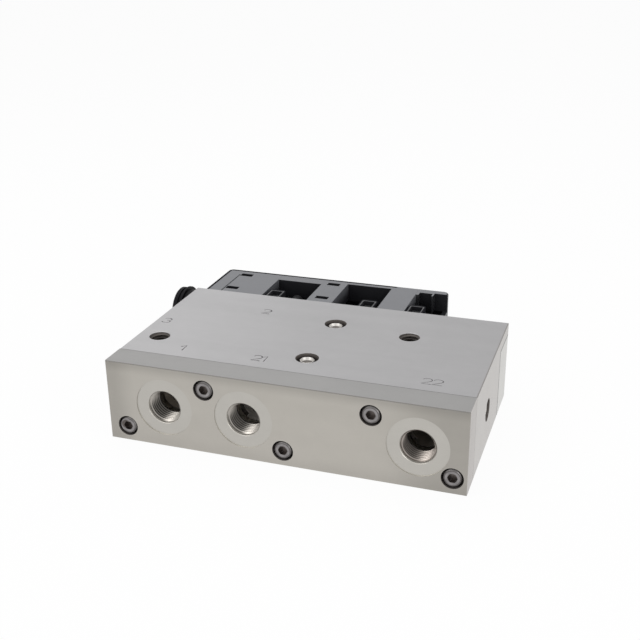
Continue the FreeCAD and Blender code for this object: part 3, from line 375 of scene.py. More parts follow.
@dataclass(frozen=True)
class Box:
    """A part of a piece, bounded along some of its axes."""

    x: Span | None = None
    y: Span | None = None
    z: Span | None = None

    def mask(self, bench: Bench) -> Wire:
        """Mark the part.

        Args:
            bench: The material's bench.

        Returns:
            1 inside the bounds and 0 elsewhere.
        """
        return bench.fold("MULTIPLY", [
            bench.maths("COMPARE", part, sum(bounds) / 2, (bounds[1] - bounds[0]) / 2)
            for part, bounds in zip(bench.axes, (self.x, self.y, self.z))
            if bounds is not None
        ])


@dataclass(frozen=True)
class Zone(Box):
    """A part of a piece with a tone laid over it: the piece's own tone in some zones, painted
    light and shade in others.
    """

    colour: Colour = field(kw_only=True)


@dataclass(frozen=True)
class LitWall(Zone):
    """A wall that is lighter near its top and falls away to the piece's own tone."""

    rise: Span = span(30.0, 37.6)

    def mask(self, bench: Bench) -> Wire:
        """Give 0 outside the bounds and below the rise, and up to 1 at its top."""
        return super().mask(bench) * bench.eased(bench.axes[Z], *self.rise)


def painted(bench: Bench, colour: Tint, zones: Iterable[Zone]) -> Tint:
    """Lay the tone of each zone over a colour.

    Args:
        bench: The material's bench.
        colour: The colour.
        zones: The zones, the lowest one first.

    Returns:
        The colour with the zones on it.
    """
    for zone in zones:
        colour = bench.mixed(zone.mask(bench), colour, zone.colour)
    return colour


@dataclass(frozen=True)
class PaintedShade:
    """Painted shade: a slow loss of brightness along one axis, between two places in millimetres.
    """

    axis: int
    start: float
    stop: float
    share: float

    def shade(self, bench: Bench) -> Wire:
        """Give 1 at the start and less by the share at the stop."""
        return 1 - self.share * bench.eased(bench.axes[self.axis], *span(self.start, self.stop))


@dataclass(frozen=True)
class PaintedBoreShading:
    """A hole with painted light and shade: a tone near the mouth and perhaps another further in.
    """

    bore: Bore
    near: Colour
    deep: Colour | None = None
    fade: Span = span(1, 2)
    margin: float = 0.08 * MM

    def mask(self, bench: Bench) -> tuple[Wire, Tint]:
        """Mark the hole's wall and floor.

        Args:
            bench: The material's bench.

        Returns:
            1 there and 0 elsewhere, and the tone.
        """
        away, out = self.bore.measured(bench)
        half = self.bore.length / 2
        within = bench.maths("LESS_THAN", away, self.bore.radius + self.margin)
        within = within * bench.maths("COMPARE", out, -half - self.margin, half)
        if self.deep is None:
            return within, self.near
        return within, bench.mixed(bench.eased(-out, *self.fade), self.near, self.deep)


@dataclass(frozen=True)
class Finish:
    """A surface finish, made once as a material of its name."""

    name: str
    slot: str
    colour: Colour

    def material(self) -> bpy.types.Material:
        """Make the finish's material, the first time that it is asked for.

        Returns:
            The material.
        """
        made = bpy.data.materials.get(self.name)
        if made is None:
            made = bpy.data.materials.new(self.name)
            made.use_nodes = True
            bench = Bench(made.node_tree)
            bench.feed(made.node_tree.nodes["Principled BSDF"], self.sockets(bench))
            self.overlay(bench)
        return made

    def sockets(self, bench: Bench) -> dict:
        """Give the shader's sockets. Each kind of finish has its own."""
        raise NotImplementedError

    def overlay(self, bench: Bench) -> None:
        """Add what lies over the shader. Most finishes have nothing there."""


@dataclass(frozen=True)
class MilledAluminium(Finish):
    """Milled and lightly blasted aluminium, with turned spotfaces, zones of tone, painted shade
    in gradients, and painted light and shade in its holes.
    """

    zones: tuple[Zone, ...] = ()
    painted_shades: tuple[PaintedShade, ...] = ()
    ports: tuple[Bore, ...] = ()
    # Painted light and shade in the holes and inside the bores, where the metal share drops too.
    holes: tuple[PaintedBoreShading, ...] = ()
    inside: Zone | None = None
    shading_nonmetal: float = 0.8
    roughness: float = 0.42
    gloss_change: float = 0.16
    relief: float = 0.006 * MM
    line_length: float = 14.0 * MM
    line_width: float = 0.35 * MM
    pass_length: float = 1 / 3
    pass_width: float = 11.0 * MM
    grit_cells: float = 6200.0
    cloud_cells: Triple = (26.0, 40.0, 40.0)
    stain_cells: Triple = (150.0, 190.0, 170.0)
    spotface_radius: float = 14.0 * MM
    spotface_lift: float = 0.3 * MM
    spotface_depth: float = 0.4 * MM
    spotface_colour: Colour = srgb(184, 181, 175)
    # Painted light on the spotfaces' step walls, lifting their shade.
    wall_painted_light: Colour = srgb(204, 201, 194)
    wall_width: float = 0.08 * MM
    wall_inset: float = 0.03 * MM
    ring_pitch: float = 0.45 * MM
    tolerance: float = 0.1 * MM

    def sockets(self, bench: Bench) -> dict:
        """Fine lines along the block, soft clouds of tone, rings on spotfaces, painted light on
        the spotface walls, and painted light and shade in the holes.

        Args:
            bench: The material's bench.

        Returns:
            The shader's sockets.
        """
        across, broad = 1 / self.line_width, 1 / self.pass_width
        lines = bench.noise((1 / self.line_length, across, across), detail=3.0)
        passes = bench.noise((1 / self.pass_length, broad, broad), detail=1.0)
        grit = bench.noise(self.grit_cells, detail=1.0)
        clouds = bench.noise(self.cloud_cells, detail=3.0)
        stains = bench.noise(self.stain_cells, detail=4.0)
        colour = self.colour
        # Painted shade along the gradients first, the zones' tones over it.
        for fade in self.painted_shades:
            colour = bench.shaded(colour, fade.shade(bench))
        colour = painted(bench, colour, self.zones)
        tone = bench.varied((0.08, clouds), (0.05, lines), (0.06, stains), (0.08, passes))
        colour = bench.shaded(colour, tone)
        height = 0.6 * lines + 0.4 * grit
        if self.ports:
            floor, wall, rings = self._spotfaces(bench)
            tone = bench.varied((0.06, rings), (0.08, stains))
            colour = bench.mixed(floor, colour, bench.shaded(self.spotface_colour, tone))
            # Painted light on the spotface walls.
            colour = bench.mixed(wall, colour, self.wall_painted_light)
            height = height * (1 - floor) + 0.7 * floor * rings
        # Painted light and shade inside the bores and in the holes, with less metal there.
        metal = 1.0
        if self.inside is not None:
            within = self.inside.mask(bench)
            colour = bench.mixed(within, colour, self.inside.colour)
            metal = 1 - self.shading_nonmetal * within
        for hole in self.holes:
            within, hole_shading = hole.mask(bench)
            painted_shading_and_stains = bench.shaded(hole_shading, bench.varied((0.6, stains)))
            colour = bench.mixed(within, colour, painted_shading_and_stains)
            metal = bench.maths("MINIMUM", metal, 1 - self.shading_nonmetal * within)
        return {
            "Base Color": colour,
            "Metallic": metal,
            "Roughness": self.roughness + self.gloss_change * (lines - 0.5),
            "Normal": bench.bumped(height, self.relief),
        }

    def _spotfaces(self, bench: Bench) -> tuple[Wire, Wire, Wire]:
        """Find the spotfaces and the rings turned on them.

        Args:
            bench: The material's bench.

        Returns:
            Masks of the floors and of the walls, and the rings.
        """
        floors, walls, distances = [], [], []
        middle = self.spotface_lift + self.spotface_depth / 2
        half = self.spotface_depth / 2 - self.wall_inset
        for port in self.ports:
            away, out = port.measured(bench)
            level = bench.maths("COMPARE", out, self.spotface_lift, self.tolerance)
            floors.append(bench.maths("LESS_THAN", away, self.spotface_radius) * level)
            edge = bench.maths("COMPARE", away, self.spotface_radius, self.wall_width)
            walls.append(edge * bench.maths("COMPARE", out, middle, half))
            distances.append(away)
        nearest = bench.fold("MINIMUM", distances)
        rings = 0.5 + 0.5 * bench.maths("SINE", nearest * (2 * math.pi / self.ring_pitch))
        return bench.fold("ADD", floors), bench.fold("ADD", walls), rings


@dataclass(frozen=True)
class BrightMetal(Finish):
    """Turned or drawn metal with fine marks, slight stains and perhaps ring tones round heads."""

    roughness: float = 0.3
    gloss_change: float = 0.2
    relief: float = 0.004 * MM
    grain: float = 0.4 * MM
    stain_cells: float = 420.0
    staining: float = 0.12
    heads: tuple[Bore, ...] = ()
    rings: tuple[tuple[float, Colour], ...] = ()
    ring_blur: float = 0.15 * MM

    def sockets(self, bench: Bench) -> dict:
        """Fine marks in the gloss, soft stains in the colour, and a tone for each ring.

        Args:
            bench: The material's bench.

        Returns:
            The shader's sockets.
        """
        marks = bench.noise(1 / self.grain, detail=2.0)
        stains = bench.noise(self.stain_cells, detail=3.0)
        colour = self._ringed(bench) if self.heads else self.colour
        return {
            "Base Color": bench.shaded(colour, 1 + self.staining * (0.6 - 1.6 * stains)),
            "Metallic": 1.0,
            "Roughness": self.roughness + self.gloss_change * (marks - 0.5),
            "Normal": bench.bumped(marks, self.relief),
        }

    def _ringed(self, bench: Bench) -> Tint:
        """Lay the rings round the nearest head's middle, the inmost first.

        Args:
            bench: The material's bench.

        Returns:
            Their tones.
        """
        nearest = bench.fold("MINIMUM", [head.measured(bench)[0] for head in self.heads])
        colour = self.rings[0][1]
        for (radius, _), (_, tone) in zip(self.rings, self.rings[1:]):
            outside = bench.eased(nearest, radius - self.ring_blur, radius + self.ring_blur)
            colour = bench.mixed(outside, colour, tone)
        return colour


@dataclass(frozen=True)
class CutThread(BrightMetal):
    """A cut thread: painted light by its mouth, the metal's tone on its crests, and painted shade
    between the ridges, on one side and deeper in.
    """

    root_shade: Colour = srgb(78, 74, 70)
    mouth_light_share: float = 0.85
    side_shade_share: float = 0.7
    depth_shade_share: float = 0.3
    mouth_end: Span = (0.08, 0.45)
    crest_rise: Span = (0.15, 0.9)
    side_edge: Span = (0.55, 0.96)
    side_start: Span = (0.0, 0.18)

    def sockets(self, bench: Bench) -> dict:
        """Mix the tones by the height, depth and side that the mesh holds.

        Args:
            bench: The material's bench.

        Returns:
            The shader's sockets.
        """
        made = super().sockets(bench)
        # Painted shade between the ridges, on one side and with depth, and painted light near the
        # mouth.
        depth = bench.own(ThreadCut.DEPTH)
        side_shade = bench.eased(bench.own(ThreadCut.SIDE), *self.side_edge)
        by_mouth = self.mouth_light_share * (1 - bench.eased(depth, *self.mouth_end)) * (1 - side_shade)
        crests = bench.eased(bench.own(ThreadCut.CREST), *self.crest_rise)
        bright = bench.maths("MAXIMUM", crests, by_mouth)
        unshaded = 1 - self.side_shade_share * side_shade * bench.eased(depth, *self.side_start)
        unshaded = unshaded * (1 - self.depth_shade_share * depth)
        colour = bench.mixed(bright, self.root_shade, made["Base Color"])
        return {**made, "Base Color": bench.shaded(colour, unshaded)}


@dataclass(frozen=True)
class MouldedPlastic(Finish):
    """Glass-filled moulding: fine spark-eroded grain and a sheen, with painted sheen and light in
    zones, and plain dark matt patches as painted shade on rims.
    """

    roughness: float = 0.42
    gloss_change: float = 0.1
    gloss: float = 0.5
    relief: float = 0.01 * MM
    grain: float = 0.16 * MM
    flow_cells: Triple = (60.0, 110.0, 110.0)
    dust: float = 0.25
    speckle: float = 0.12
    zones: tuple[Zone, ...] = ()
    # Boxes of plain dark matt plastic: painted shade.
    matt: tuple[Box, ...] = ()
    painted_shade_colour: Colour = srgb(35, 35, 38)

    def sockets(self, bench: Bench) -> dict:
        """Grain in the relief and faint dust and flow marks in the tone.

        Args:
            bench: The material's bench.

        Returns:
            The shader's sockets.
        """
        grain = bench.noise(1 / self.grain, detail=1.0)
        flow = bench.noise(self.flow_cells, detail=4.0)
        colour = painted(bench, self.colour, self.zones)
        tone = bench.varied((self.dust, flow), (self.speckle, grain))
        return {
            "Base Color": bench.shaded(colour, tone),
            "Roughness": self.roughness + self.gloss_change * (flow - 0.5),
            "Specular IOR Level": self.gloss,
            "Normal": bench.bumped(grain, self.relief),
        }

    def overlay(self, bench: Bench) -> None:
        """Lay plain dark matt plastic over the matt parts, as painted shade.

        Args:
            bench: The material's bench.
        """
        if self.matt:
            share = bench.fold("MAXIMUM", [box.mask(bench) for box in self.matt])
            glossy = Wire(bench, bench.tree.nodes["Principled BSDF"].outputs[0])
            plain = bench.wire("BsdfDiffuse", inputs={"Color": (*self.painted_shade_colour, 1.0)})
            bench.cover(share, glossy, plain)


@dataclass(frozen=True)
class WoundWire(Finish):
    """Copper wire wound in layers: ridges round the coil's own axis."""

    roughness: float = 0.325
    gloss_change: float = 0.15
    relief: float = 0.1 * MM
    pitch: float = 0.35 * MM
    turn_cells: float = 50.0
    turn_tone: float = 0.4

    def sockets(self, bench: Bench) -> dict:
        """Ridges one wire wide along Y, and a slight change of tone from turn to turn.

        Args:
            bench: The material's bench.

        Returns:
            The shader's sockets.
        """
        ridge = bench.maths("SINE", bench.axes[Y] * (2 * math.pi / self.pitch))
        cells = (self.turn_cells, 1 / self.pitch, self.turn_cells)
        turns = bench.noise(cells, detail=1.0)
        return {
            "Base Color": bench.shaded(self.colour, bench.varied((self.turn_tone, turns))),
            "Metallic": 1.0,
            "Roughness": self.roughness + self.gloss_change * (turns - 0.5),
            "Normal": bench.bumped(0.5 + 0.5 * ridge, self.relief),
        }


SEAM = srgb(98, 96, 94)
SHADED = srgb(96, 91, 89)
# Places along X, in millimetres.
TUBES = (-42.9, 9.3, 35.4)
WELL_WALLS = (-49.1, -9.4, 30.2)
UPPER = span(30.0, 38.1)
END_FACE = span(84.9, 85.1)
LEFT_FACE = span(-85.1, -84.9)
# Painted light and shade in the holes: tones for the deep drillings, and darker tones further
# into port 3, the fixing holes and the plug recesses.
PAINTED_HOLE_SHADES = (
    PaintedBoreShading(OUTLET_DRILLINGS[0], srgb(212, 208, 203)),
    PaintedBoreShading(OUTLET_DRILLINGS[1], srgb(130, 123, 115)),
    PaintedBoreShading(SUPPLY_DRILLING[0], srgb(192, 184, 173)),
    PaintedBoreShading(PORTS["port_3"], srgb(160, 156, 149), srgb(100, 95, 90), span(0.8, 3)),
    *(PaintedBoreShading(bore, srgb(96, 91, 87), srgb(78, 74, 71), span(1, 5)) for bore in FIXING_HOLES),
    *(PaintedBoreShading(bore, srgb(112, 106, 102), srgb(66, 61, 59), span(0.3, 2.4)) for bore in PLUGS),
)


class Look(Enum):
    """The finishes of this object."""

    BLOCK = MilledAluminium(
        "milled aluminium, block",
        ALUMINIUM,
        srgb(173, 172, 173),
        zones=(
            # Painted light: the end faces lighter than the top.
            Zone(colour=srgb(188, 185, 182), x=END_FACE),
            Zone(colour=srgb(184, 182, 179), x=LEFT_FACE),
            # Painted shade over the light that the top right edge catches.
            Zone(colour=srgb(140, 137, 135), x=span(84.55, 85.0), z=span(39.6, 40.1)),
            Zone(colour=SEAM, x=END_FACE, y=span(26.3, 27.1), z=span(0, 34)),
            Zone(colour=SEAM, x=END_FACE, y=span(27.0, 50.1), z=span(33.9, 34.4)),
        ),
        # Painted shade: the top darker towards the right end.
        painted_shades=(PaintedShade(X, -85, 10, 0.12), PaintedShade(X, 20, 80, 0.03)),
        ports=(PORTS["port_3"],),
        holes=PAINTED_HOLE_SHADES,
        # Painted shade inside the bores.
        inside=Zone(
            colour=srgb(122, 116, 109),
            x=span(-84.5, 84.5),
            y=span(-35.7, 26.9),
            z=span(0.4, 39.5),
        ),
    )
    FRONT_PLATE = MilledAluminium(
        "milled aluminium, port plate",
        ALUMINIUM,
        srgb(180, 176, 169),
        zones=(
            Zone(colour=srgb(148, 147, 146), z=span(39.75, 40.2)),
            # Painted shade over the light that the top front edge catches.
            Zone(colour=srgb(118, 116, 113), y=span(-50.1, -49.65), z=span(39.65, 40.1)),
            # Painted light: the end faces kept out of the painted shade of the gradients.
            Zone(colour=srgb(180, 176, 173), x=END_FACE),
            Zone(colour=srgb(184, 182, 179), x=LEFT_FACE),
        ),
        # Painted shade towards both ends, the top and the bottom of the port face.
        painted_shades=(
            PaintedShade(X, -70, -82, 0.18),
            PaintedShade(X, 42, 76, 0.2),
            PaintedShade(Z, 34, 40, 0.19),
            PaintedShade(Z, 8, 1, 0.06),
        ),
        ports=FRONT_PORTS,
        # Painted shade in the ports and the screw recesses.
        holes=(
            *(
                PaintedBoreShading(bore, srgb(172, 168, 160), srgb(108, 103, 97), span(0.8, 4))
                for bore in FRONT_PORTS
            ),
            *(PaintedBoreShading(bore, SHADED) for bore in FRONT_SCREWS),
        ),
    )
    REAR_PLATE = MilledAluminium(
        "milled aluminium, rear plate",
        ALUMINIUM,
        srgb(203, 202, 199),
        zones=(
            # Painted shade: the left end darker than the right end.
            Zone(colour=srgb(186, 184, 181), x=LEFT_FACE),
            Zone(colour=SEAM, x=END_FACE, y=span(27.1, 27.6)),
            Zone(colour=SEAM, x=END_FACE, z=span(33.5, 34.1)),
        ),
        holes=tuple(PaintedBoreShading(bore, SHADED) for bore in REAR_SCREWS),
    )
    THREAD = CutThread("cut thread", ALUMINIUM, srgb(182, 177, 170), roughness=0.32)
    # Port 22's thread: browner, with less painted light by its mouth and a little more painted
    # shade on one side.
    SIDE_SHADED_THREAD = CutThread(
        "oily thread",
        ALUMINIUM,
        srgb(176, 168, 161),
        roughness=0.32,
        root_shade=srgb(74, 66, 60),
        mouth_light_share=0.3,
        side_shade_share=0.72,
    )
    # Painted shade: the fixing holes' threads dark throughout.
    DARK_THREAD = CutThread(
        "stained thread", ALUMINIUM, srgb(88, 84, 81), roughness=0.57, root_shade=srgb(62, 59, 57)
    )
    SCREW = BrightMetal(
        "plated screw steel",
        "screw_steel",
        srgb(128, 125, 124),
        roughness=0.34,
        staining=0.5,
        heads=FRONT_SCREWS + REAR_SCREWS,
        # The inmost tone is painted shade in the hex socket.
        rings=(
            (2.2 * MM, srgb(104, 98, 95)),
            (3.3 * MM, srgb(146, 143, 143)),
            (3.6 * MM, srgb(92, 88, 87)),
            (4.4 * MM, srgb(124, 121, 120)),
        ),
    )
    BRIGHT_STEEL = BrightMetal("bright steel", "bright_steel", srgb(222, 220, 214))
    PLUG = BrightMetal(
        "pressed plug steel",
        "bright_steel",
        srgb(224, 221, 216),
        roughness=0.47,
        heads=PLUGS,
        # The inner tone is a painted dark reflection in the coned hollow.
        rings=((2.5 * MM, srgb(112, 108, 105)), (3.6 * MM, srgb(198, 195, 191))),
    )
    SPRING = BrightMetal("spring steel", "spring_steel", srgb(150, 150, 152))
    BRASS = BrightMetal("contact brass", "contact_brass", srgb(214, 182, 110))
    COPPER = WoundWire("wound copper", "copper_wire", srgb(196, 110, 62))
    HOUSING = MouldedPlastic(
        "housing plastic",
        "housing_plastic",
        srgb(28, 28, 31),
        roughness=0.36,
        gloss=0.4,
        zones=(
            # Painted sheen: the top plane lighter than the rest of the housing.
            Zone(colour=srgb(100, 101, 105), z=span(37.97, 38.1)),
            # Painted light on the floor of the channel near the left end.
            Zone(colour=srgb(78, 79, 82), x=span(-73.8, -72.6), z=span(37.5, 37.96)),
            # The tube tops darker than the painted sheen of the top plane.
            *(
                Zone(colour=srgb(48, 48, 51), x=around(x, 4.5), y=span(54.7, 65.0))
                for x in TUBES
            ),
            *(
                LitWall(colour=srgb(92, 93, 97), x=around(x, 0.2), y=span(52.5, 86.0))
                for x in WELL_WALLS
            ),
        ),
        # Painted shade: plain dark matt patches on the rims and the tube tops.
        matt=(
            Box(y=span(87.0, 89.3), z=span(36.8, 37.97)),
            Box(x=span(-82.6, -81.0), z=span(36.8, 37.97)),
            Box(x=span(-82.6, 18.0), y=span(86.8, 89.3), z=span(36.8, 38.1)),
            Box(x=span(-82.6, -80.5), z=span(36.8, 38.1)),
            *(Box(around(x - 4.1, 0.4), span(54.7, 64.8), UPPER) for x in TUBES),
            *(Box(around(x + 4.1, 0.4), span(54.7, 64.8), UPPER) for x in TUBES),
            *(Box(around(x, 4.5), span(63.2, 64.8), UPPER) for x in TUBES),
            *(Box(around(x, 3.0), span(54.7, 62.6), UPPER) for x in TUBES),
        ),
    )
    CONNECTOR = MouldedPlastic(
        "connector plastic", "connector_plastic", srgb(17, 16, 19), roughness=0.45, gloss=0.08
    )
    COIL = MouldedPlastic("coil plastic", "coil_plastic", srgb(34, 34, 36), roughness=0.4)
    BOBBIN = MouldedPlastic("bobbin plastic", "bobbin_plastic", srgb(96, 94, 92))
    RUBBER = MouldedPlastic("seal rubber", "seal_rubber", srgb(28, 28, 28), roughness=0.7)
    FIBRE = MouldedPlastic(
        "gasket fibre", "seal_rubber", srgb(150, 148, 145), roughness=0.8, gloss=0.1
    )
    # Painted shade: the dark ribbons along the stamped strokes.
    GROOVE_SHADE = BrightMetal("stamped groove", ALUMINIUM, srgb(88, 86, 87), roughness=0.62)


NODE_LOOKS = {
    "main_block": Look.BLOCK,
    "front_plate": Look.FRONT_PLATE,
    "rear_plate": Look.REAR_PLATE,
    "front_plate_screws": Look.SCREW,
    "rear_plate_screws": Look.SCREW,
    "housing_screws": Look.SCREW,
    "gallery_plugs": Look.PLUG,
    "spool_spring": Look.SPRING,
    "spool": Look.BRIGHT_STEEL,
    "push_pin": Look.BRIGHT_STEEL,
    "armature": Look.BRIGHT_STEEL,
    "pole_tube_seals": Look.RUBBER,
    "pole_tube": Look.BRIGHT_STEEL,
    "coil_cover": Look.COIL,
    "coil_nuts": Look.SCREW,
    "bobbin": Look.BOBBIN,
    "winding": Look.COPPER,
    "housing": Look.HOUSING,
    "housing_gasket": Look.RUBBER,
    "front_gasket": Look.FIBRE,
    "rear_gasket": Look.RUBBER,
    "connector": Look.CONNECTOR,
    "connector_seal": Look.RUBBER,
    "connector_pins": Look.BRASS,
    "contact_strips": Look.BRASS,
}


def look_of(node: str) -> Look:
    """Give a node's finish by the longest name that it starts with."""
    fitting = [name for name in NODE_LOOKS if node.startswith(name)]
    return NODE_LOOKS[max(fitting, key=len)]


def dress(piece: bpy.types.Object, look: Look) -> None:
    """Give a piece one finish, in place of what it had."""
    piece.data.materials.clear()
    piece.data.materials.append(look.value.material())


def put(name: str, data: bpy.types.ID) -> bpy.types.Object:
    """Add an object to the scene.

    Args:
        name: Its name.
        data: What it holds, such as a mesh or a lamp.

    Returns:
        The new object.
    """
    made = bpy.data.objects.new(name, data)
    bpy.context.scene.collection.objects.link(made)
    return made


def put_mesh(name: str, mesh: bmesh.types.BMesh) -> bpy.types.Object:
    """Add an object with the shape of a bmesh.

    Args:
        name: Its name.
        mesh: Its shape; it is freed.

    Returns:
        The new object.
    """
    data = bpy.data.meshes.new(name)
    mesh.to_mesh(data)
    mesh.free()
    return put(name, data)


def stand_piece(name: str, mesh: bmesh.types.BMesh, look: Look) -> bpy.types.Object:
    """Turn a bmesh into a piece of the block.

    Args:
        name: The piece's name.
        mesh: Its shape in the row frame; it is freed.
        look: Its finish.

    Returns:
        The new object, riding on the block.
    """
    piece = put_mesh(name, mesh)
    dress(piece, look)
    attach(piece, BLOCK)
    log.info("%s: %d faces", name, len(piece.data.polygons))
    return piece


def shade_smooth(mesh: bmesh.types.BMesh, sharp: float) -> None:
    """Shade every face as curved, and leave the sharp edges crisp.

    Args:
        mesh: The shape.
        sharp: The least angle of a sharp edge, in degrees.
    """
    for face in mesh.faces:
        face.smooth = True
    for edge in mesh.edges:
        edge.smooth = edge.calc_face_angle(0.0) < math.radians(sharp)


@dataclass(frozen=True)
class ThreadCut:
    """The ridges of an inside thread, one turned strip from the mouth inwards."""

    CREST: ClassVar[str] = "crest"
    DEPTH: ClassVar[str] = "depth"
    SIDE: ClassVar[str] = "side"
    # The side of each thread that gets the painted shade.
    SHADED_SIDE: ClassVar[Vector] = Vector((-0.74, 0.0, -0.67))

    name: str
    bore: Bore
    pitch: float
    depth: float
    look: Look
    start: float = 0.1 * MM
    sink: float = 0.03 * MM
    foot_share: float = 0.46
    crest_share: float = 0.07
    segments: int = 48
    sharp: float = 30.0

    def build(self) -> None:
        """Turn a four-sided ridge about the bore's axis, one pitch a turn."""
        turns = math.floor((self.bore.length - self.start) / self.pitch)
        foot, crest = self.pitch * self.foot_share, self.pitch * self.crest_share
        outer, inner = self.bore.radius + self.sink, self.bore.radius - self.depth
        corners = ((outer, -foot), (outer, foot), (inner, crest), (inner, -crest))
        mesh = bmesh.new()
        height = mesh.verts.layers.float.new(self.CREST)
        depth = mesh.verts.layers.float.new(self.DEPTH)
        side = mesh.verts.layers.float.new(self.SIDE)
        ridge = [mesh.verts.new((radius, 0, -along)) for radius, along in corners]
        for vertex, (radius, _) in zip(ridge, corners):
            vertex[height] = (outer - radius) / (outer - inner)
        bmesh.ops.spin(
            mesh,
            geom=[mesh.faces.new(ridge)],
            cent=(0, 0, 0),
            axis=(0, 0, 1),
            dvec=(0, 0, -self.pitch / self.segments),
            angle=2 * math.pi * turns,
            steps=self.segments * turns,
            use_merge=False,
        )
        bmesh.ops.recalc_face_normals(mesh, faces=mesh.faces)
        shade_smooth(mesh, self.sharp)
        turn = self.bore.stand.to_3x3()
        for vertex in mesh.verts:
            vertex[depth] = min(1.0, max(0.0, -vertex.co.z / self.bore.length))
            outwards = turn @ Vector((vertex.co.x, vertex.co.y, 0.0)).normalized()
            vertex[side] = outwards.dot(self.SHADED_SIDE)
        sunk = Matrix.Translation((0, 0, -self.start - foot))
        bmesh.ops.transform(mesh, matrix=self.bore.stand @ sunk, verts=mesh.verts)
        stand_piece(self.name, mesh, self.look)


def arc(centre: Point, radii: Point, start: float, stop: float, step: float = 15) -> list[Point]:
    """Give points on part of an ellipse.

    Args:
        centre: Its middle.
        radii: Its half width and half height.
        start: The first angle in degrees, anticlockwise from the right.
        stop: The last angle in degrees.
        step: About how many degrees lie between two points.

    Returns:
        The points.
    """
    steps = max(2, round(abs(stop - start) / step))
    angles = [math.radians(start + (stop - start) * turn / steps) for turn in range(steps + 1)]
    return [
        (centre[0] + radii[0] * math.cos(angle), centre[1] + radii[1] * math.sin(angle))
        for angle in angles
    ]


# The strokes of each figure, its height being 1.
FIGURES = {
    "1": [[(-0.14, 0.7), (0.26, 1.0), (0.26, 0.0)]],
    "2": [arc((0.4, 0.7), (0.38, 0.3), 165, -38) + [(0.0, 0.0), (0.8, 0.0)]],
    "3": [
        arc((0.38, 0.76), (0.36, 0.24), 155, -90),
        arc((0.38, 0.27), (0.4, 0.27), 90, -155),
    ],
}


@dataclass(frozen=True)
class StampedNumber:
    """A number struck into the top: a flat dark ribbon of painted shade along each stroke,
    between two low burrs.
    """

    name: str
    text: str
    corner: Point
    height: float = 5.5 * MM
    advance: float = 4.9 * MM
    groove_width: float = 0.52 * MM
    groove_lift: float = 0.006 * MM
    burr_height: float = 0.035 * MM
    sink: float = 0.02 * MM

    def build(self) -> None:
        """Make the burrs and the dark ribbon of painted shade as thin ribbons along the strokes.
        """
        half, low, lift = self.groove_width / 2, -self.sink, self.groove_lift
        burr = (
            (-2.0 * half, low),
            (-1.45 * half, self.burr_height),
            (-half, self.burr_height * 0.6),
            (-half, low),
        )
        mirrored = tuple((-across, up) for across, up in reversed(burr))
        groove_shade = ((-half, low), (-half, lift), (half, lift), (half, low))
        self._ribbon(f"{self.name}_left_burr", burr, Look.BLOCK)
        self._ribbon(f"{self.name}_right_burr", mirrored, Look.BLOCK)
        # Painted shade: a dark ribbon just above the top, along each stroke.
        self._ribbon(f"{self.name}_groove", groove_shade, Look.GROOVE_SHADE)

    def _ribbon(self, name: str, section: Iterable[Point], look: Look) -> None:
        """Sweep a section along each stroke.

        Args:
            name: The piece's name.
            section: The section's corners: how far across and how high.
            look: The piece's finish.
        """
        profile = self._lines(f"{name}_section", [[(*point, 0.0) for point in section]], True)
        strokes = self._lines(name, self._strokes(), False)
        strokes.data.bevel_mode = "OBJECT"
        strokes.data.bevel_object = profile
        strokes.data.use_fill_caps = True
        ready = strokes.evaluated_get(bpy.context.evaluated_depsgraph_get())
        mesh = bmesh.new()
        mesh.from_mesh(ready.to_mesh())
        ready.to_mesh_clear()
        for item in (strokes, profile):
            bpy.data.objects.remove(item)
        bmesh.ops.remove_doubles(mesh, verts=mesh.verts, dist=WELD)
        bmesh.ops.recalc_face_normals(mesh, faces=mesh.faces)
        stand_piece(name, mesh, look)

    def _strokes(self) -> list[list[Triple]]:
        """Lay the strokes out on the block's top face.

        Returns:
            The points of each stroke.
        """
        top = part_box("main_block")[1].z
        left, low = self.corner
        return [
            [
                (left + self.advance * number + across * self.height, low + up * self.height, top)
                for across, up in stroke
            ]
            for number, character in enumerate(self.text)
            for stroke in FIGURES[character]
        ]

    @staticmethod
    def _lines(name: str, runs: Iterable[Sequence[Triple]], closed: bool) -> bpy.types.Object:
        """Make a curve object of straight runs.

        Args:
            name: The object's name.
            runs: The points of each run.
            closed: True for a flat closed section, False for open strokes.

        Returns:
            The object.
        """
        curve = bpy.data.curves.new(name, "CURVE")
        curve.dimensions = "2D" if closed else "3D"
        curve.twist_mode = "Z_UP"
        for run in runs:
            spline = curve.splines.new("POLY")
            spline.points.add(len(run) - 1)
            spline.use_cyclic_u = closed
            for point, where in zip(spline.points, run):
                point.co = (*where, 1.0)
        return put(name, curve)


@dataclass(frozen=True)
class TurnedPlugs:
    """The gallery plugs: each a shank under a rim with a coned hollow.

    The outline is given as radius and depth below the face, in millimetres.
    """

    node: str = "gallery_plugs"
    places: tuple[Bore, ...] = PLUGS
    outline: tuple[Point, ...] = (
        *((0.0, 2.5), (2.2, 2.45), (2.6, 2.05), (3.1, 1.15), (3.2, 0.95), (3.33, 1.0)),
        *((3.4, 1.25), (3.4, 3.4), (2.95, 3.4), (2.95, 12.4), (0.0, 12.4)),
    )
    segments: int = 48
    sharp: float = 40.0

    def build(self) -> None:
        """Turn the outline in each recess."""
        mesh = bmesh.new()
        for place in self.places:
            points = [
                mesh.verts.new(place.stand @ Vector((radius * MM, 0, -deep * MM)))
                for radius, deep in self.outline
            ]
            edges = [mesh.edges.new(pair) for pair in zip(points, points[1:])]
            bmesh.ops.spin(
                mesh,
                geom=points + edges,
                cent=place.mouth,
                axis=place.out,
                angle=2 * math.pi,
                steps=self.segments,
                use_merge=True,
            )
        bmesh.ops.remove_doubles(mesh, verts=mesh.verts, dist=WELD)
        bmesh.ops.recalc_face_normals(mesh, faces=mesh.faces)
        shade_smooth(mesh, self.sharp)
        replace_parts(stand_piece(f"{self.node}_turned", mesh, Look.PLUG), self.node)


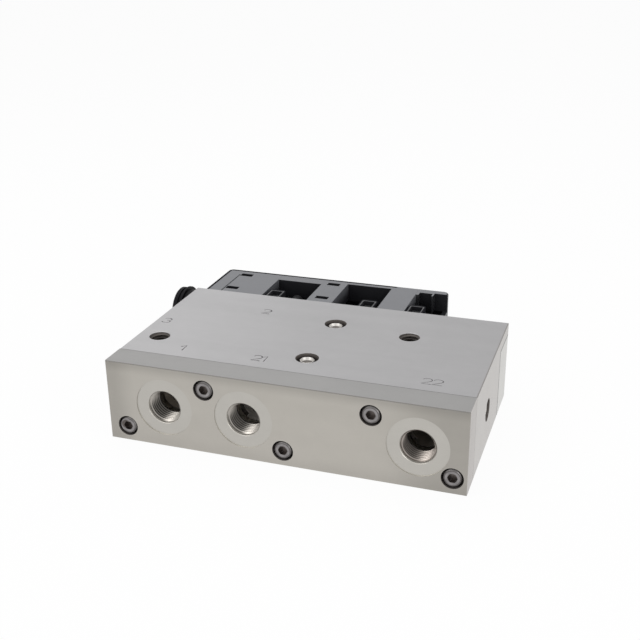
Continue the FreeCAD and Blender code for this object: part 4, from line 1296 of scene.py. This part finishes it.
@dataclass(frozen=True)
class SoftenedCopy:
    """A moulded or machined node again, with its sharp edges rounded."""

    node: str
    width: float
    segments: int = 2
    weld: float = 0.002 * MM
    flat: float = 0.5
    sharp: float = 35.0
    curved_below: float = 1.6 * MM

    def build(self) -> None:
        """Join the node's loose triangles into flat faces and round the edges between them."""
        mesh = bmesh.new()
        mesh.from_mesh(frame["nodes"][self.node].data)
        bmesh.ops.remove_doubles(mesh, verts=mesh.verts, dist=self.weld)
        bmesh.ops.dissolve_limit(
            mesh, angle_limit=math.radians(self.flat), verts=mesh.verts, edges=mesh.edges
        )
        limit = math.radians(self.sharp)
        bmesh.ops.bevel(
            mesh,
            geom=[edge for edge in mesh.edges if edge.calc_face_angle(0.0) > limit],
            offset=self.width,
            offset_type="OFFSET",
            affect="EDGES",
            segments=self.segments,
            profile=0.5,
            material=-1,
            clamp_overlap=True,
        )
        for face in mesh.faces:
            across = face.calc_area() / max(edge.calc_length() for edge in face.edges)
            face.smooth = across < self.curved_below
        bmesh.ops.triangulate(mesh, faces=[face for face in mesh.faces if not face.smooth])
        piece = stand_piece(f"{self.node}_skin", mesh, look_of(self.node))
        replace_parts(piece, self.node)


@dataclass(frozen=True)
class ValveSpring:
    """A spool's spring, held at the front."""

    number: int
    travel: float = 2.5 * MM

    def build(self) -> None:
        """Take the node's coil as a piece of its own, in place of the node."""
        node = f"spool_spring_{self.number}"
        mesh = bmesh.new()
        mesh.from_mesh(frame["nodes"][node].data)
        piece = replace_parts(stand_piece(f"{node}_coil", mesh, look_of(node)), node)
        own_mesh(piece)


@dataclass(frozen=True)
class PortedBlock:
    """The aluminium block: its threads, stamped numbers, plugs and valve springs."""

    port_pitch: float = 1.5 * MM
    port_depth: float = 0.82 * MM
    fixing_pitch: float = 1.5 * MM
    fixing_depth: float = 0.8 * MM
    numbers: tuple[StampedNumber, ...] = (
        StampedNumber("number_1", "1", span(-57.4, -29.0), groove_width=0.72 * MM),
        StampedNumber("number_21", "21", span(-21.0, -29.2), groove_width=0.62 * MM),
        StampedNumber("number_22", "22", span(59.0, -29.4), groove_width=0.42 * MM),
        StampedNumber("number_3", "3", span(-81.6, -0.5)),
        StampedNumber("number_2", "2", span(-37.7, 25.4), groove_width=0.62 * MM),
    )

    def build(self) -> None:
        """Cut the threads, strike the numbers and set in the plugs and springs."""
        for name, bore in PORTS.items():
            look = Look.SIDE_SHADED_THREAD if name == "port_22" else Look.THREAD
            ThreadCut(f"{name}_thread", bore, self.port_pitch, self.port_depth, look).build()
        for number, bore in enumerate(FIXING_HOLES, start=1):
            name, look = f"fixing_hole_{number}_thread", Look.DARK_THREAD
            ThreadCut(name, bore, self.fixing_pitch, self.fixing_depth, look).build()
        for stamped in self.numbers:
            stamped.build()
        TurnedPlugs().build()
        for station in STATIONS:
            ValveSpring(station).build()


@dataclass(frozen=True)
class PlasticHousing:
    """The moulded housing and its connector, with rounded edges that catch the light."""

    softened: tuple[SoftenedCopy, ...] = (
        SoftenedCopy("housing_shell", 0.18 * MM),
        SoftenedCopy("connector_body", 0.25 * MM),
        *(SoftenedCopy(f"coil_cover_{station}", 0.3 * MM) for station in STATIONS),
    )

    def build(self) -> None:
        """Build the rounded copies."""
        for copy in self.softened:
            copy.build()


@dataclass(frozen=True)
class Lamp:
    """A square lamp that hangs at an offset from the object's middle and faces it."""

    name: str
    offset: Triple
    size: float
    power: float

    def build(self) -> None:
        """Hang the lamp."""
        light = bpy.data.lights.new(self.name, "AREA")
        light.size = self.size
        light.energy = self.power
        offset = Vector(self.offset)
        lamp = put(self.name, light)
        lamp.location = (cad_box[0] + cad_box[1]) / 2 + offset
        lamp.rotation_euler = offset.to_track_quat("Z", "Y").to_euler()


@dataclass(frozen=True)
class Studio:
    """A pale floor, soft light from above and a white surround."""

    WHITE: ClassVar[tuple[float, ...]] = (1.0, 1.0, 1.0, 1.0)
    SEEING: ClassVar[tuple[str, ...]] = ("Is Camera Ray", "Is Glossy Ray", "Is Transmission Ray")

    floor_half: float = 3.0
    floor_colour: Colour = (0.82, 0.82, 0.82)
    floor_glow: float = 0.94
    surround: float = 1.0
    fill: float = 0.62
    lamps: tuple[Lamp, ...] = (
        Lamp("overhead", (-0.2, 0.1, 0.9), size=0.9, power=3.4),
        Lamp("right_side", (0.9, -0.35, 0.45), size=0.6, power=3.0),
        Lamp("front_left", (-0.5, -0.8, 0.5), size=0.6, power=2.5),
    )

    def build(self) -> None:
        """Build the floor, the surround and the lamps."""
        self._floor()
        self._surround()
        for lamp in self.lamps:
            lamp.build()

    def _floor(self) -> None:
        """Lay the floor: white to the eye, but it keeps the object's shadow."""
        mesh = bmesh.new()
        bmesh.ops.create_grid(mesh, x_segments=1, y_segments=1, size=self.floor_half)
        floor = put_mesh("floor", mesh)
        paint = bpy.data.materials.new("pale floor")
        paint.use_nodes = True
        paint.node_tree.nodes.remove(paint.node_tree.nodes["Principled BSDF"])
        bench = Bench(paint.node_tree)
        matt = bench.wire("BsdfDiffuse", inputs={"Color": (*self.floor_colour, 1.0)})
        glow = bench.wire("Emission", inputs={"Color": self.WHITE, "Strength": 1.0})
        bench.cover(bench.ray_is(*self.SEEING) * self.floor_glow, matt, glow)
        floor.data.materials.append(paint)

    def _surround(self) -> None:
        """Make the world white to the eye and in reflections, and softer as a light."""
        world = bpy.data.worlds.new("surround")
        world.use_nodes = True
        bpy.context.scene.world = world
        bench = Bench(world.node_tree)
        strength = self.fill + (self.surround - self.fill) * bench.ray_is(*self.SEEING)
        background = world.node_tree.nodes["Background"]
        bench.feed(background, {"Color": self.WHITE, "Strength": strength})


@dataclass(frozen=True)
class PhotoCamera:
    """The camera at the photograph's own place, found from the block's corners and holes."""

    place: Triple = (0.14354, -0.409568, 0.230009)
    azimuth: float = 18.952958
    elevation: float = 22.437701
    roll: float = -0.606873
    focal_pixels: float = 989.156
    frame_pixels: float = 640.0
    sensor: float = 36.0
    seen_from: float = 0.01
    seen_to: float = 20.0

    def build(self) -> None:
        """Set up the camera and make it the scene's own."""
        azimuth, elevation = math.radians(self.azimuth), math.radians(self.elevation)
        back = Vector((
            math.sin(azimuth) * math.cos(elevation),
            -math.cos(azimuth) * math.cos(elevation),
            math.sin(elevation),
        ))
        right = Vector((math.cos(azimuth), math.sin(azimuth), 0.0))
        up = back.cross(right)
        turn = Matrix.Rotation(math.radians(self.roll), 3, back)
        data = bpy.data.cameras.new("photo")
        data.sensor_width = self.sensor
        data.lens = self.focal_pixels * self.sensor / self.frame_pixels
        data.clip_start, data.clip_end = self.seen_from, self.seen_to
        camera = put("photo", data)
        turned = Matrix((turn @ right, turn @ up, back)).transposed().to_4x4()
        camera.matrix_world = Matrix.Translation(self.place) @ turned
        bpy.context.scene.camera = camera


def dress_frame() -> None:
    """Give every node of the frame its finish."""
    for name, node in frame["nodes"].items():
        look = look_of(name)
        dress(node, look)
        log.info("%s: %s", name, look.value.name)


def main() -> None:
    """Build the looks in order: camera, frame, block, housing, studio."""
    logging.basicConfig(level=logging.INFO, format="%(name)s %(message)s")
    bpy.context.scene.view_settings.view_transform = "Standard"
    PhotoCamera().build()
    dress_frame()
    PortedBlock().build()
    PlasticHousing().build()
    Studio().build()


if __name__ == "__main__":
    main()
